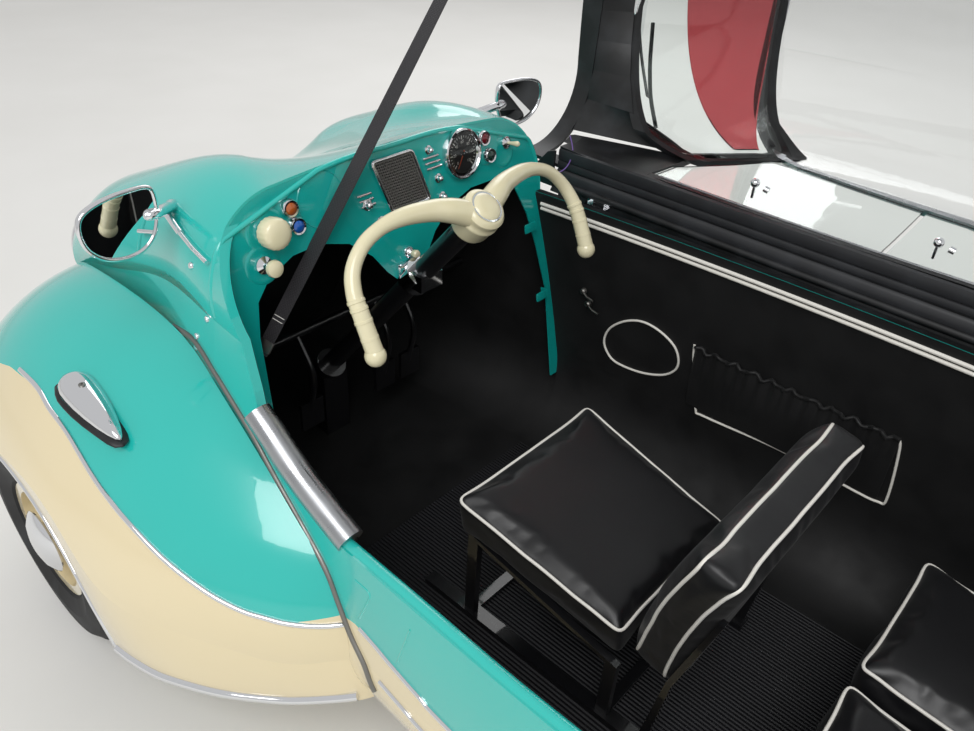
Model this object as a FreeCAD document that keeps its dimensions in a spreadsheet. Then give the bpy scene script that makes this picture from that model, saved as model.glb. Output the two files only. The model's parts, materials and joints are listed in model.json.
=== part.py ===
"""A three wheeled bubble car with a side opening canopy, in millimetres.

The origin is on the ground under the middle of the front axle. +X is the car's left,
+Y runs to the rear and +Z is up. The canopy stands open, turned up about its hinge on
the right sill, and every piece of it is drawn closed first and then turned.
"""
import FreeCAD
import Part
import Sketcher
import math
import os

Vec = FreeCAD.Vector
os.makedirs("parts", exist_ok=True)
doc = FreeCAD.newDocument("bubble_car")


# Sizes, each written once

SIZES = [
    ("wheelbase", 2030, "front axle to rear wheel"),
    ("front_track", 1080, "between the middles of the front tyres"),
    ("tyre_radius", 207, "outside of the tyre"),
    ("tyre_width", 100, "across the tyre"),
    ("rim_radius", 102, "bead seat of the rim"),
    ("rim_width", 74, "across the rim flanges"),
    ("axle_radius", 11, "stub axles and rear axle"),
    ("bore_gap", 0.05, "radial running clearance of a wheel bore"),
    ("king_inset", 72, "kingpin inboard of the tyre's middle"),
    ("king_radius", 14, "outside of a kingpin post"),
    ("skin", 4, "thickness of a pressed steel panel"),
    ("wall", 14, "thickness of a double skinned wall"),
    ("floor_height", 165, "underside of the floor above the ground"),
    ("dash_place", 285, "rear rim of the cowl behind the front axle"),
    ("cabin_end", 1500, "front face of the rear bulkhead"),
    ("bulkhead_thick", 12, "rear bulkhead"),
    ("sill_right", 698, "top of the right wall"),
    ("sill_left", 515, "top of the left wall beside the seat"),
    ("sill_left_front", 600, "top of the left wall where it leaves the cowl"),
    ("sill_knee", 605, "place where the left sill turns level"),
    ("hinge_side", 396, "canopy hinge to the right of the middle"),
    ("hinge_height", 704, "canopy hinge above the ground"),
    ("canopy_open", 90, "angle that the canopy stands open"),
    ("clearance", 6, "gap between moving and fixed panels"),
    ("rail_base", 706, "underside of the canopy's base frame"),
    ("rail_depth", 34, "height of the canopy's base frame"),
    ("rail_width", 40, "width of the canopy's base frame"),
    ("arch_front", 212, "front edge of the canopy's front arch"),
    ("arch_width", 38, "width of the canopy's arches"),
    ("belt_base", 745, "bottom of the canopy's side windows"),
    ("glass", 5, "thickness of the window panes"),
    ("lamp_radius", 80, "outside of a headlamp rim"),
    ("lamp_side", 250, "headlamp from the middle"),
    ("lamp_height", 598, "headlamp above the ground"),
    ("lamp_front", -215, "front face of the headlamp lobes"),
    ("tail_end", 2390, "rear end of the body"),
    ("tail_front", 1565, "front edge of the tail cover"),
    ("tail_edge", 330, "lower edge of the tail cover"),
    ("tail_hinge", 2318, "hinge of the tail cover behind the front axle"),
    ("seat_front", 578, "front of the driver's cushion"),
    ("seat_length", 322, "length of the driver's cushion"),
    ("seat_width", 370, "width of the driver's cushion at its front"),
    ("seat_top", 448, "top of the driver's cushion at its front"),
    ("column_radius", 19, "steering column tube"),
    ("hub_place", 457, "middle of the handlebar behind the front axle"),
    ("hub_height", 804, "middle of the handlebar above the ground"),
    ("bar_half", 239, "half of the handlebar's width"),
    ("bar_radius", 14, "handlebar tube"),
]
sheet = doc.addObject("Spreadsheet::Sheet", "Sizes")
for row, (alias, value, note) in enumerate(SIZES, start=1):
    sheet.set(f"A{row}", note)
    sheet.set(f"B{row}", str(value))
    sheet.setAlias(f"B{row}", alias)
doc.recompute()


class Size(float):
    """A number that also carries the sheet expression that gives it."""

    def __new__(cls, value, text):
        made = float.__new__(cls, value)
        made.text = text
        return made

    def joined(self, other, sign, value, swap=False):
        mine, theirs = self.text, text_of(other)
        pair = (theirs, mine) if swap else (mine, theirs)
        return Size(value, f"({pair[0]} {sign} {pair[1]})")

    def __add__(self, other):
        return self.joined(other, "+", float(self) + float(other))

    def __radd__(self, other):
        return self.joined(other, "+", float(self) + float(other), swap=True)

    def __sub__(self, other):
        return self.joined(other, "-", float(self) - float(other))

    def __rsub__(self, other):
        return self.joined(other, "-", float(other) - float(self), swap=True)

    def __mul__(self, other):
        return self.joined(other, "*", float(self) * float(other))

    def __rmul__(self, other):
        return self.joined(other, "*", float(self) * float(other), swap=True)

    def __truediv__(self, other):
        return self.joined(other, "/", float(self) / float(other))

    def __neg__(self):
        return Size(-float(self), f"(-1 * {self.text})")


def text_of(number):
    return number.text if isinstance(number, Size) else f"({float(number)})"


class Sheet:
    """The sheet's cells by name, read as numbers with their expressions."""

    def __getattr__(self, alias):
        return Size(float(sheet.get(alias)), f"Sizes.{alias}")


S = Sheet()
pieces = []


# Helpers that put objects in the document

def keep(obj, label, placement=None):
    """Name a finished sub-part and list it for the hand-out."""
    obj.Label = label
    if placement is not None:
        obj.Placement = placement
    pieces.append(obj)
    return obj


def feature(label, shape, placement=None):
    """A sub-part whose form comes from lofts and cuts that no dialog feature gives."""
    obj = doc.addObject("Part::Feature", label)
    obj.Shape = shape
    return keep(obj, label, placement)


def bind(obj, **sizes):
    """Set an object's sizes and tie them to the sheet."""
    for prop, size in sizes.items():
        setattr(obj, prop, float(size))
        obj.setExpression(prop, text_of(size))
    return obj


def plane_of(body, role):
    return [part for part in body.Origin.OriginFeatures if part.Role == role][0]


def outline(body, role, corners, offset=None):
    """A closed sketch in one of the body's own planes, its corners tied to the sheet."""
    sketch = body.newObject("Sketcher::SketchObject", f"{body.Name}_{role}_sketch")
    sketch.AttachmentSupport = (plane_of(body, role), [""])
    sketch.MapMode = "FlatFace"
    if offset is not None:
        sketch.AttachmentOffset = FreeCAD.Placement(Vec(0, 0, float(offset)), FreeCAD.Rotation())
        sketch.setExpression("AttachmentOffset.Base.z", text_of(offset))
    count = len(corners)
    for i, (across, along) in enumerate(corners):
        after = corners[(i + 1) % count]
        sketch.addGeometry(Part.LineSegment(Vec(across, along, 0), Vec(after[0], after[1], 0)), False)
    for i in range(count):
        sketch.addConstraint(Sketcher.Constraint("Coincident", i, 2, (i + 1) % count, 1))
    for i, corner in enumerate(corners):
        for kind, size in (("DistanceX", corner[0]), ("DistanceY", corner[1])):
            if not isinstance(size, Size) and size == 0:
                line = -2 if kind == "DistanceX" else -1
                sketch.addConstraint(Sketcher.Constraint("PointOnObject", i, 1, line))
                continue
            mark = sketch.addConstraint(Sketcher.Constraint(kind, -1, 1, i, 1, float(size)))
            if isinstance(size, Size):
                sketch.setExpression(f"Constraints[{mark}]", size.text)
    return sketch


def turned(label, corners, placement=None, role="XZ_Plane", round_at=(), round_by=None):
    """A body of revolution about its own Z, from (radius, height) corners."""
    body = doc.addObject("PartDesign::Body", label)
    sketch = outline(body, role, corners)
    spin = body.newObject("PartDesign::Revolution", f"{label}_spin")
    spin.Profile = sketch
    spin.ReferenceAxis = (sketch, ["V_Axis"])
    spin.Angle = 360
    doc.recompute()
    if round_at:
        edges = []
        for i, edge in enumerate(spin.Shape.Edges, start=1):
            if not isinstance(edge.Curve, Part.Circle):
                continue
            for radius, height in round_at:
                if abs(edge.Curve.Radius - radius) < 0.01 and abs(edge.Curve.Center.z - height) < 0.01:
                    edges.append(f"Edge{i}")
        soft = body.newObject("PartDesign::Fillet", f"{label}_round")
        soft.Base = (spin, edges)
        bind(soft, Radius=round_by)
        doc.recompute()
    return keep(body, label, placement)


def slab(label, role, corners, thick, placement=None, offset=None, round_by=None, listed=True):
    """A plate drawn flat in one plane and padded, its upright corners rounded."""
    body = doc.addObject("PartDesign::Body", label)
    sketch = outline(body, role, corners, offset)
    pad = body.newObject("PartDesign::Pad", f"{label}_pad")
    pad.Profile = sketch
    bind(pad, Length=thick)
    doc.recompute()
    if round_by is not None:
        normal = {"XY_Plane": Vec(0, 0, 1), "XZ_Plane": Vec(0, 1, 0), "YZ_Plane": Vec(1, 0, 0)}[role]
        edges = []
        for i, edge in enumerate(pad.Shape.Edges, start=1):
            run = edge.Vertexes[-1].Point.sub(edge.Vertexes[0].Point)
            if run.Length > 0.01 and abs(run.normalize().dot(normal)) > 0.999:
                edges.append(f"Edge{i}")
        soft = body.newObject("PartDesign::Fillet", f"{label}_round")
        soft.Base = (pad, edges)
        bind(soft, Radius=round_by)
        doc.recompute()
    if listed:
        return keep(body, label, placement)
    body.Placement = placement if placement is not None else FreeCAD.Placement()
    return body


# Helpers for curved panels

def arc(start, middle, end):
    return Part.Arc(Vec(*start), Vec(*middle), Vec(*end)).toShape()


def mirrored_x(point):
    return (-point[0], point[1], point[2])


def ring_section(station, inset=0.0):
    """One closed section of the body from a row of the table, drawn inwards by inset."""
    y, zb, bw, wm, zm, wu, zu, sx, sz, tw, zt, zc = station
    i = inset
    low = (bw - i, y, zb + i)
    wide = (wm - i, y, zm)
    high = (wu - i, y, zu)
    over = (sx - i * 0.8, y, sz - i * 0.6)
    top = (tw - i * 0.2, y, zt - i)
    crown = (0, y, zc - i)
    corner = (bw - i + (wm - bw) * 0.72, y, zb + i + (zm - zb - i) * 0.3)
    flank = ((wm + wu) / 2 - i + 6, y, (zm + zu) / 2)
    edges = [
        Part.makeLine(Vec(*mirrored_x(low)), Vec(*low)),
        arc(low, corner, wide),
        arc(wide, flank, high),
        arc(high, over, top),
        arc(top, crown, mirrored_x(top)),
        arc(mirrored_x(top), mirrored_x(over), mirrored_x(high)),
        arc(mirrored_x(high), mirrored_x(flank), mirrored_x(wide)),
        arc(mirrored_x(wide), mirrored_x(corner), mirrored_x(low)),
    ]
    return Part.Wire(edges)


def loft(wires, ruled=False):
    return Part.makeLoft(wires, True, ruled)


def block(x0, x1, y0, y1, z0, z1):
    return Part.makeBox(x1 - x0, y1 - y0, z1 - z0, Vec(x0, y0, z0))


def prism_x(points, x0, x1):
    """A block with an outline drawn in side view, from (y, z) corners."""
    face = Part.Face(Part.makePolygon([Vec(x0, y, z) for y, z in points + points[:1]]))
    return face.extrude(Vec(x1 - x0, 0, 0))


def prism_y(points, y0, y1):
    """A block with an outline drawn in front view, from (x, z) corners."""
    face = Part.Face(Part.makePolygon([Vec(x, y0, z) for x, z in points + points[:1]]))
    return face.extrude(Vec(0, y1 - y0, 0))


def prism_z(points, z0, z1):
    """A block with an outline drawn in plan, from (x, y) corners."""
    face = Part.Face(Part.makePolygon([Vec(x, y, z0) for x, y in points + points[:1]]))
    return face.extrude(Vec(0, 0, z1 - z0))


def tube_along(points, radius):
    """A round bar through points, its bends eased by arcs."""
    vecs = [Vec(*p) for p in points]
    edges, last = [], vecs[0]
    for i in range(1, len(vecs) - 1):
        back = vecs[i - 1].sub(vecs[i])
        ahead = vecs[i + 1].sub(vecs[i])
        reach = 0.42 * min(back.Length, ahead.Length)
        back.normalize()
        ahead.normalize()
        a = vecs[i].add(back * reach)
        b = vecs[i].add(ahead * reach)
        half = math.acos(max(-1, min(1, back.dot(ahead)))) / 2
        bis = back.add(ahead)
        if bis.Length < 1e-6:
            continue
        bis.normalize()
        centre = vecs[i].add(bis * (reach / math.cos(half)))
        middle = centre.sub(bis * (reach * math.tan(half)))
        edges.append(Part.makeLine(last, a))
        edges.append(Part.Arc(a, middle, b).toShape())
        last = b
    edges.append(Part.makeLine(last, vecs[-1]))
    path = Part.Wire(edges)
    start = vecs[1].sub(vecs[0])
    ring = Part.Wire([Part.makeCircle(radius, vecs[0], start)])
    return path.makePipeShell([ring], True, True)


def fused(shapes):
    whole = shapes[0].multiFuse(shapes[1:]) if len(shapes) > 1 else shapes[0]
    return whole.removeSplitter()


def both_sides(shape):
    """A shape and its mirror image on the other side of the car."""
    return Part.makeCompound([shape, shape.mirror(Vec(0, 0, 0), Vec(1, 0, 0))])


# The body's sections

# Columns: y, bottom z, bottom half width, widest half width and its z, shoulder x and z,
# a point over the shoulder x and z, crown start x and z, crown z in the middle.
NOSE = [
    (-430, 400, 40, 95, 455, 86, 500, 72, 525, 42, 537, 542),
    (-385, 318, 100, 180, 440, 150, 520, 126, 574, 76, 600, 608),
    (-300, 265, 140, 230, 430, 168, 540, 146, 610, 96, 634, 642),
    (-215, 240, 165, 262, 425, 172, 545, 154, 628, 112, 656, 664),
]
COWL = [
    (-215, 240, 165, 290, 440, 337, 588, 309, 660, 190, 668, 640),
    (-100, 205, 195, 300, 410, 332, 620, 308, 738, 185, 752, 700),
    (0, 185, 220, 325, 400, 330, 650, 304, 778, 180, 798, 750),
    (100, 174, 240, 350, 385, 333, 680, 300, 812, 176, 838, 797),
    (200, 168, 252, 374, 370, 342, 690, 309, 822, 200, 853, 843),
    (285, 165, 260, 392, 357, 352, 692, 320, 808, 225, 858, 868),
]
TUB = [
    (285, 165, 260, 392, 357, 352, 692, 320, 808, 225, 858, 868),
    (600, 165, 285, 412, 345, 372, 695, 335, 800, 230, 850, 866),
    (900, 165, 290, 418, 340, 379, 697, 340, 790, 230, 840, 860),
    (1200, 165, 285, 412, 340, 374, 697, 336, 780, 220, 820, 835),
    (1500, 165, 260, 384, 345, 350, 695, 318, 745, 200, 778, 788),
]
TAIL = [
    (1500, 165, 260, 384, 345, 350, 695, 318, 745, 200, 778, 788),
    (1565, 175, 250, 374, 345, 339, 680, 307, 733, 193, 766, 776),
    (1800, 215, 210, 318, 345, 285, 610, 257, 662, 160, 697, 707),
    (2050, 235, 155, 240, 345, 212, 520, 190, 566, 118, 600, 610),
    (2270, 245, 95, 155, 345, 136, 440, 120, 476, 72, 500, 508),
    (2350, 252, 70, 120, 345, 106, 418, 94, 448, 56, 468, 475),
    (2390, 266, 38, 74, 345, 64, 392, 55, 412, 32, 426, 431),
]


made_hulls = {}


def hull(table, inset=0.0, past_front=0.0, past_rear=0.0):
    """The solid inside a table's sections, drawn in by inset and run past its ends, made once."""
    key = (str(table), inset, past_front, past_rear)
    if key not in made_hulls:
        wires = [ring_section(row, inset) for row in table]
        solid = loft(wires)
        if past_rear:
            solid = solid.fuse(Part.Face(wires[-1]).extrude(Vec(0, past_rear, 0)))
        if past_front:
            solid = solid.fuse(Part.Face(wires[0]).extrude(Vec(0, -past_front, 0)))
        made_hulls[key] = solid
    return made_hulls[key]


def shell(table, thick, close_front=False, close_rear=False):
    """The hollow skin of a table's hull, its ends left open unless they are asked for."""
    rows = [list(r) for r in table]
    if close_front:
        rows[0][0] += thick
    if close_rear:
        rows[-1][0] -= thick
    inner = hull(rows, thick, 0 if close_front else PAST, 0 if close_rear else PAST)
    return hull(table).cut(inner)


PAST = 40
FAR = 900
dash_slope = 0.171
dash_datum = 740


def dash_y(z, shift=0.0):
    """The sloping plane of the dash panel: its place at a height."""
    return float(S.dash_place) + 6 + shift - dash_slope * (z - dash_datum)


def before_dash(shift=0.0):
    return prism_x([(-FAR, 0), (dash_y(0, shift), 0), (dash_y(FAR, shift), FAR), (-FAR, FAR)], -FAR, FAR)


# The body shell

skin = float(S.skin)
wall = float(S.wall)
end = float(S.cabin_end)
gap = float(S.clearance)
cabin_solid = hull(COWL, wall).fuse(hull(TUB, wall, past_rear=PAST))

cowl_rows = [(COWL[0][0] + skin,) + COWL[0][1:]] + COWL[1:]
cowl_inner = hull(cowl_rows, skin)
nose_rows = [(NOSE[0][0] + skin,) + NOSE[0][1:]] + NOSE[1:]
nose_inner = hull(nose_rows, skin, past_rear=skin + 1)
tub_inner = hull(TUB, skin, past_rear=PAST)
nose_outer = hull(NOSE).fuse(hull(COWL)).fuse(hull(TUB).common(block(-FAR, FAR, 0, 420, 0, FAR)))
nose_hollow = nose_inner.fuse(cowl_inner).fuse(tub_inner)
nose = nose_outer.cut(nose_hollow).common(before_dash())
for side in (-1, 1):
    eye = Part.makeCylinder(float(S.lamp_radius) - 6, 60, Vec(side * S.lamp_side, S.lamp_front - 30, S.lamp_height),
                            Vec(0, 1, 0))
    nose = nose.cut(eye)
feature("nose_shell", nose)

tub_shell = hull(TUB).fuse(hull(COWL)).cut(cabin_solid).cut(before_dash(0.0))
tub_shell = tub_shell.common(block(-FAR, FAR, 0, end, 0, FAR))
floor_half = 250
floor = tub_shell.common(block(-floor_half, floor_half, 0, end, 0, 300))
feature("floor_pan", floor)

# The left side falls from the cowl's shoulder to a low sill that a driver steps over
sill_front = float(S.sill_left_front)
sill_line = [(0, 820), (277, 820), (285, 800), (341, 722), (398, 635), (415, sill_front), (500, 565),
             (float(S.sill_knee), float(S.sill_left)), (end + PAST, float(S.sill_left))]


def below_left_sill(shift=0.0):
    """The room under the left side's upper edge, moved out by a shift."""
    raised = [(y + 0.7 * shift, z + shift) for y, z in sill_line]
    return prism_x([(0, 0), (0, 820 + shift)] + raised[1:] + [(end + 2 * PAST, raised[-1][1]), (end + 2 * PAST, 0)],
                   0, FAR)


left_wall = tub_shell.common(block(floor_half, FAR, 0, end, 0, FAR)).common(below_left_sill())
feature("left_wall", left_wall)
right_wall = tub_shell.common(block(-FAR, -floor_half, 0, end, 0, float(S.sill_right)))
feature("right_wall", right_wall)

bulkhead_end = end + float(S.bulkhead_thick)
bulkhead = hull(TAIL, skin + 0.3).common(block(-FAR, FAR, end, bulkhead_end, 0, FAR))
feature("rear_bulkhead", bulkhead)

tail_front = float(S.tail_front)
tail_edge = float(S.tail_edge)
tail_shell = shell(TAIL, skin, close_rear=True)
deck = tail_shell.common(block(-FAR, FAR, end, tail_front - gap, tail_edge - gap, FAR))
feature("rear_deck", deck)
sides = tail_shell.common(block(-FAR, FAR, end, float(S.tail_hinge) - 16, 246, tail_edge - gap - 0.3))
wheel_room = float(S.tyre_radius) + 15
wheel_half = float(S.tyre_width) / 2 + 25
wheel_y = float(S.wheelbase)
feature("tail_sides", sides.cut(block(-wheel_half, wheel_half, wheel_y - wheel_room, wheel_y + wheel_room, 0, FAR)))
cover = tail_shell.common(block(-FAR, FAR, tail_front, FAR * 3, tail_edge, FAR))
hinge_y = float(S.tail_hinge)
hinge_tube_z = 300
hinge_tube_r = 15
run_gap = float(S.bore_gap)
hinge_lugs = []
for x in (-32, 20):
    lug = Part.makeCylinder(hinge_tube_r + 9, 12, Vec(x, hinge_y, hinge_tube_z), Vec(1, 0, 0))
    arm = prism_x([(hinge_y + 4, hinge_tube_z + 22), (hinge_y + 22, hinge_tube_z + 2),
                   (float(S.tail_end) - skin + 1, tail_edge + 4), (float(S.tail_end) - skin + 1, tail_edge + 40)],
                  x, x + 12)
    lug = lug.fuse(arm).cut(Part.makeCylinder(hinge_tube_r + run_gap, 12, Vec(x, hinge_y, hinge_tube_z),
                                              Vec(1, 0, 0)))
    hinge_lugs.append(lug)
feature("tail_cover", fused([cover] + hinge_lugs))


# Fenders

# Columns: y, inner z, top middle x and z, outermost x and z, bottom x and z.
FENDER = [
    (-318, 430, 320, 442, 395, 380, 385, 318),
    (-270, 505, 360, 530, 520, 400, 535, 235),
    (-150, 580, 400, 600, 588, 430, 597, 212),
    (30, 608, 415, 622, 606, 440, 604, 209),
    (200, 606, 430, 600, 606, 415, 605, 209),
    (300, 584, 440, 572, 604, 350, 603, 209),
    (400, 552, 452, 525, 572, 330, 582, 212),
    (500, 512, 452, 470, 520, 320, 528, 218),
    (585, 450, 430, 412, 458, 310, 462, 226),
    (655, 330, 388, 300, 392, 280, 386, 236),
]


def fender_section(row, inset=0.0, drop=0.0):
    y, zi, xm, zm, xo, zo, xb, zb = row
    root = 180 if drop == 0 else 120
    inner = (root, y, zi - inset)
    top = (xm - inset * 0.3, y, zm - inset)
    out = (xo - inset, y, zo)
    low = (xb - inset, y, zb - drop)
    bulge = ((xo + xb) / 2 + 3 - inset, y, (zo + zb - drop) / 2)
    return Part.Wire([
        arc(inner, top, out),
        arc(out, bulge, low),
        Part.makeLine(Vec(*low), Vec(root, y, zb - drop)),
        Part.makeLine(Vec(root, y, zb - drop), Vec(*inner)),
    ])


def fender_solid(inset=0.0, drop=0.0):
    rows = [list(r) for r in FENDER]
    if inset:
        rows[0][0] += inset
        rows[-1][0] -= inset
    return loft([fender_section(r, inset, drop) for r in rows])


arch_radius = 300
arch_height = 130
fender = fender_solid().cut(fender_solid(skin, PAST))
fender = fender.cut(Part.makeCylinder(arch_radius, 300, Vec(470, 5, arch_height), Vec(1, 0, 0)))
fender = fender.cut(hull(COWL)).cut(hull(TUB))
# In front of the cowl the fender stops just short of the nose, at its widest
nose_gap = 9
beside_nose = [(row[3] + nose_gap, row[0]) for row in NOSE[::-1][:-1]]
nose_plan = [(0, -FAR), (0, float(S.lamp_front))] + beside_nose + [(beside_nose[-1][0], -FAR)]
fender = fender.cut(prism_z(nose_plan, 0, FAR))
feature("fender_left", fender)
feature("fender_right", fender.mirror(Vec(0, 0, 0), Vec(1, 0, 0)))


# The canopy, drawn closed

hinge_x = -float(S.hinge_side)
hinge_z = float(S.hinge_height)
swing = FreeCAD.Placement(Vec(0, 0, 0), FreeCAD.Rotation(Vec(0, 1, 0), -float(S.canopy_open)),
                          Vec(hinge_x, 0, hinge_z))
rail_z = float(S.rail_base)
rail_top = rail_z + float(S.rail_depth)
arch_y = float(S.arch_front)
arch_end = arch_y + float(S.arch_width)
rear_arch_end = end + float(S.arch_width)
lip = 7


def canopy(label, shape):
    return feature(label, shape, swing)


def rail_line(over):
    """The outer edge of the base frame in plan, from the body's own shoulders."""
    rows = [COWL[-1]] + TUB[1:]
    return [(r[5] + over, r[0]) for r in rows]


ring_start = dash_y(rail_z, gap)
outer_line = [(x, y) for x, y in rail_line(gap + lip)]
outer_line[0] = (outer_line[0][0], ring_start)
outer_line[-1] = (outer_line[-1][0], end - gap)
inner_line = [(x - float(S.rail_width), y) for x, y in outer_line]
side_rail = prism_z(outer_line + inner_line[::-1], rail_z, rail_top)


def band(table, near, away, y0, y1):
    """A strip that lies over the body's skin, from the rail's height upwards."""
    slice_of = block(-FAR, FAR, y0, y1, rail_z, FAR + 200)
    return hull(table, -away).cut(hull(table, -near)).common(slice_of)


front_arch = band(COWL, gap, gap + lip, arch_y, arch_end)
rear_arch = band(TAIL, gap, gap + lip, end, rear_arch_end)
low_slice = block(-FAR, FAR, 0, FAR * 3, rail_z, rail_top)
foot = band(COWL, gap, gap + lip, arch_end, float(S.dash_place)).common(low_slice)
foot_end = band(TUB, gap, gap + lip, float(S.dash_place), ring_start + 8).common(low_slice)
foot_rear = band(TUB, gap, gap + lip, end - 20, end).common(low_slice)
skirt = hull(TUB).cut(cabin_solid).cut(before_dash(gap))
skirt = skirt.common(block(floor_half, FAR, 0, end - gap, 0, rail_z)).cut(below_left_sill(gap))
other_rail = side_rail.mirror(Vec(0, 0, 0), Vec(1, 0, 0))
near_cowl = before_dash(gap).common(hull(TUB, -gap))
body_room = hull(COWL, -gap).fuse(near_cowl).fuse(hull(TUB, -gap).common(below_left_sill(gap)))

# Two hinges on the right: a pin between knuckles on the wall, and a knuckle on the canopy's rail
canopy_pin_r = 4
knuckle_r = 8
knuckle_long = 24
hinge_places = (400, 1360)
side_gap = 0.5
rail_knuckles = []
wall_hinges = []
for y in hinge_places:
    rail_knuckles.append(Part.makeCylinder(knuckle_r, knuckle_long, Vec(hinge_x, y, hinge_z), Vec(0, 1, 0)).fuse(
        block(hinge_x, hinge_x + 40, y, y + knuckle_long, rail_z, hinge_z + knuckle_r)).cut(
        Part.makeCylinder(canopy_pin_r + run_gap, knuckle_long, Vec(hinge_x, y, hinge_z), Vec(0, 1, 0))))
    ends = [Part.makeCylinder(knuckle_r, 12, Vec(hinge_x, place, hinge_z), Vec(0, 1, 0))
            for place in (y - side_gap - 12, y + knuckle_long + side_gap)]
    low_z = hinge_z - knuckle_r - 2
    foot_plate = block(hinge_x - knuckle_r, hinge_x + 60, y - side_gap - 12, y + knuckle_long + side_gap + 12,
                       low_z - 14, low_z)
    webs = [block(hinge_x - knuckle_r, hinge_x + knuckle_r, place, place + 12, low_z - 1, hinge_z)
            for place in (y - side_gap - 12, y + knuckle_long + side_gap)]
    pin = Part.makeCylinder(canopy_pin_r, knuckle_long + 24, Vec(hinge_x, y - 12, hinge_z), Vec(0, 1, 0))
    wall_hinges.append(fused(ends + webs + [foot_plate, pin]).cut(hull(TUB, -0.3)))
feature("canopy_hinges", Part.makeCompound([max(h.Solids, key=lambda piece: piece.Volume) for h in wall_hinges]))
base = fused([side_rail.cut(body_room), other_rail, front_arch, foot, foot_end, rear_arch, foot_rear, skirt]
             + rail_knuckles)
canopy("canopy_base", base)

# Columns: y, base half width, belt half width and z, shoulder x and z, crown start x and z, crown z.
CANOPY = [
    (240, 346, 333, 930, 305, 1010, 170, 1060, 1075),
    (480, 347, 334, 960, 305, 1075, 170, 1145, 1165),
    (850, 350, 333, 960, 297, 1105, 170, 1180, 1200),
    (1100, 347, 326, 930, 288, 1062, 170, 1140, 1158),
    (1300, 341, 318, 872, 283, 972, 175, 1034, 1050),
    (1440, 331, 310, 800, 270, 852, 182, 888, 900),
    (1500, 326, 306, 768, 262, 786, 196, 798, 806),
]


def canopy_section(row, inset=0.0, drop=0.0):
    y, wb, wr, zr, sx, sz, tw, zt, zc = row
    low = (wb - inset, y, rail_top - drop)
    belt = (wr - inset, y, zr)
    middle = ((wb + wr) / 2 + 2 - inset, y, (rail_top + zr) / 2)
    over = (sx - inset * 0.8, y, sz - inset * 0.6)
    top = (tw - inset * 0.3, y, zt - inset)
    crown = (0, y, zc - inset)
    edges = [
        Part.makeLine(Vec(*mirrored_x(low)), Vec(*low)),
        arc(low, middle, belt),
        arc(belt, over, top),
        arc(top, crown, mirrored_x(top)),
        arc(mirrored_x(top), mirrored_x(over), mirrored_x(belt)),
        arc(mirrored_x(belt), mirrored_x(middle), mirrored_x(low)),
    ]
    return Part.Wire(edges)


def bubble(inset=0.0, drop=0.0):
    rows = [list(r) for r in CANOPY]
    if drop:
        rows[0][0] -= drop
        rows[-1][0] += drop
    return loft([canopy_section(r, inset, drop) for r in rows])


pane = float(S.glass)
bubble_skin = bubble().cut(bubble(pane, 3))
frame_skin = bubble(-3).cut(bubble(pane + 4, 3))
hoop_side = [(474, 1160), (488, 1130), (511, 1098), (553, 1056), (607, 1006)]
belt_side = [(660, 982), (975, 948), (1300, 866), (1440, 790), (1500, 757)]
pillar_side = [(462, 812), (540, 902), (607, 986)]


def shifted(points, dy, dz):
    return [(y + dy, z + dz) for y, z in points]


def strip(points, dy, dz):
    """A strip in side view along a line, widened by a shift."""
    return prism_x(points + shifted(points, dy, dz)[::-1], -FAR, FAR)


above = prism_x([(474, FAR * 2)] + shifted(hoop_side, 12, 8) + shifted(belt_side, 0, 9) + [(1500, FAR * 2)], -FAR, FAR)
dome = bubble_skin.common(above)
canopy("dome", dome)

hoop = frame_skin.common(strip(shifted(hoop_side, -4, -4), 16, 12))
belt = frame_skin.common(strip(shifted(hoop_side[-1:] + belt_side, 0, -9), 0, 18))
belt_base = float(S.belt_base)
window_sill = frame_skin.common(block(-FAR, FAR, 480.3, 1497, rail_top + 0.3, belt_base + 9))
dome_frame = fused([hoop, belt, window_sill])

window_front = shifted(pillar_side, 26, 6)
window_top = shifted(belt_side, 0, -9.3)
split_y = 905
panes = []
for cut0, cut1 in ((0, split_y - 4), (split_y + 4, 1480)):
    view = prism_x([(window_front[0][0] - 8, belt_base + 9.3)] + window_front + window_top[:-1]
                   + [(1440, belt_base + 9.3)], -FAR, FAR)
    panes.append(bubble_skin.common(view).common(block(-FAR, FAR, cut0, cut1, 0, FAR * 2)))
panes = [view.cut(dome_frame) for view in panes]
canopy("side_windows", Part.makeCompound([s for p in panes for s in p.Solids if s.Volume > 1000]))

# The windscreen is part of a leaning cylinder
screen_radius = 345
screen_place = 290
screen_datum = 935
screen_lean = 0.82
screen_low = 700
screen_high = 1200
screen_back = 60
screen_half = 331
screen_foot_x = 300
screen_foot_z = 845
screen_foot_mid = 932
screen_side_low = 885


def screen_band(outer, inner):
    """The front half of a leaning tube wall."""
    y0 = screen_place + screen_radius + screen_lean * (screen_low - screen_datum)
    centre = Vec(0, y0, screen_low)
    tall = screen_high - screen_low
    way = Vec(0, screen_lean * tall, tall)
    solids = [Part.Face(Part.Wire(Part.makeCircle(r, centre))).extrude(way) for r in (outer, inner)]
    tube = solids[0].cut(solids[1])
    back = y0 - screen_back
    front = prism_x([(-FAR, screen_low), (back, screen_low), (back + screen_lean * tall, screen_high),
                     (-FAR, screen_high)], -FAR, FAR)
    return tube.common(front)


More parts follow.
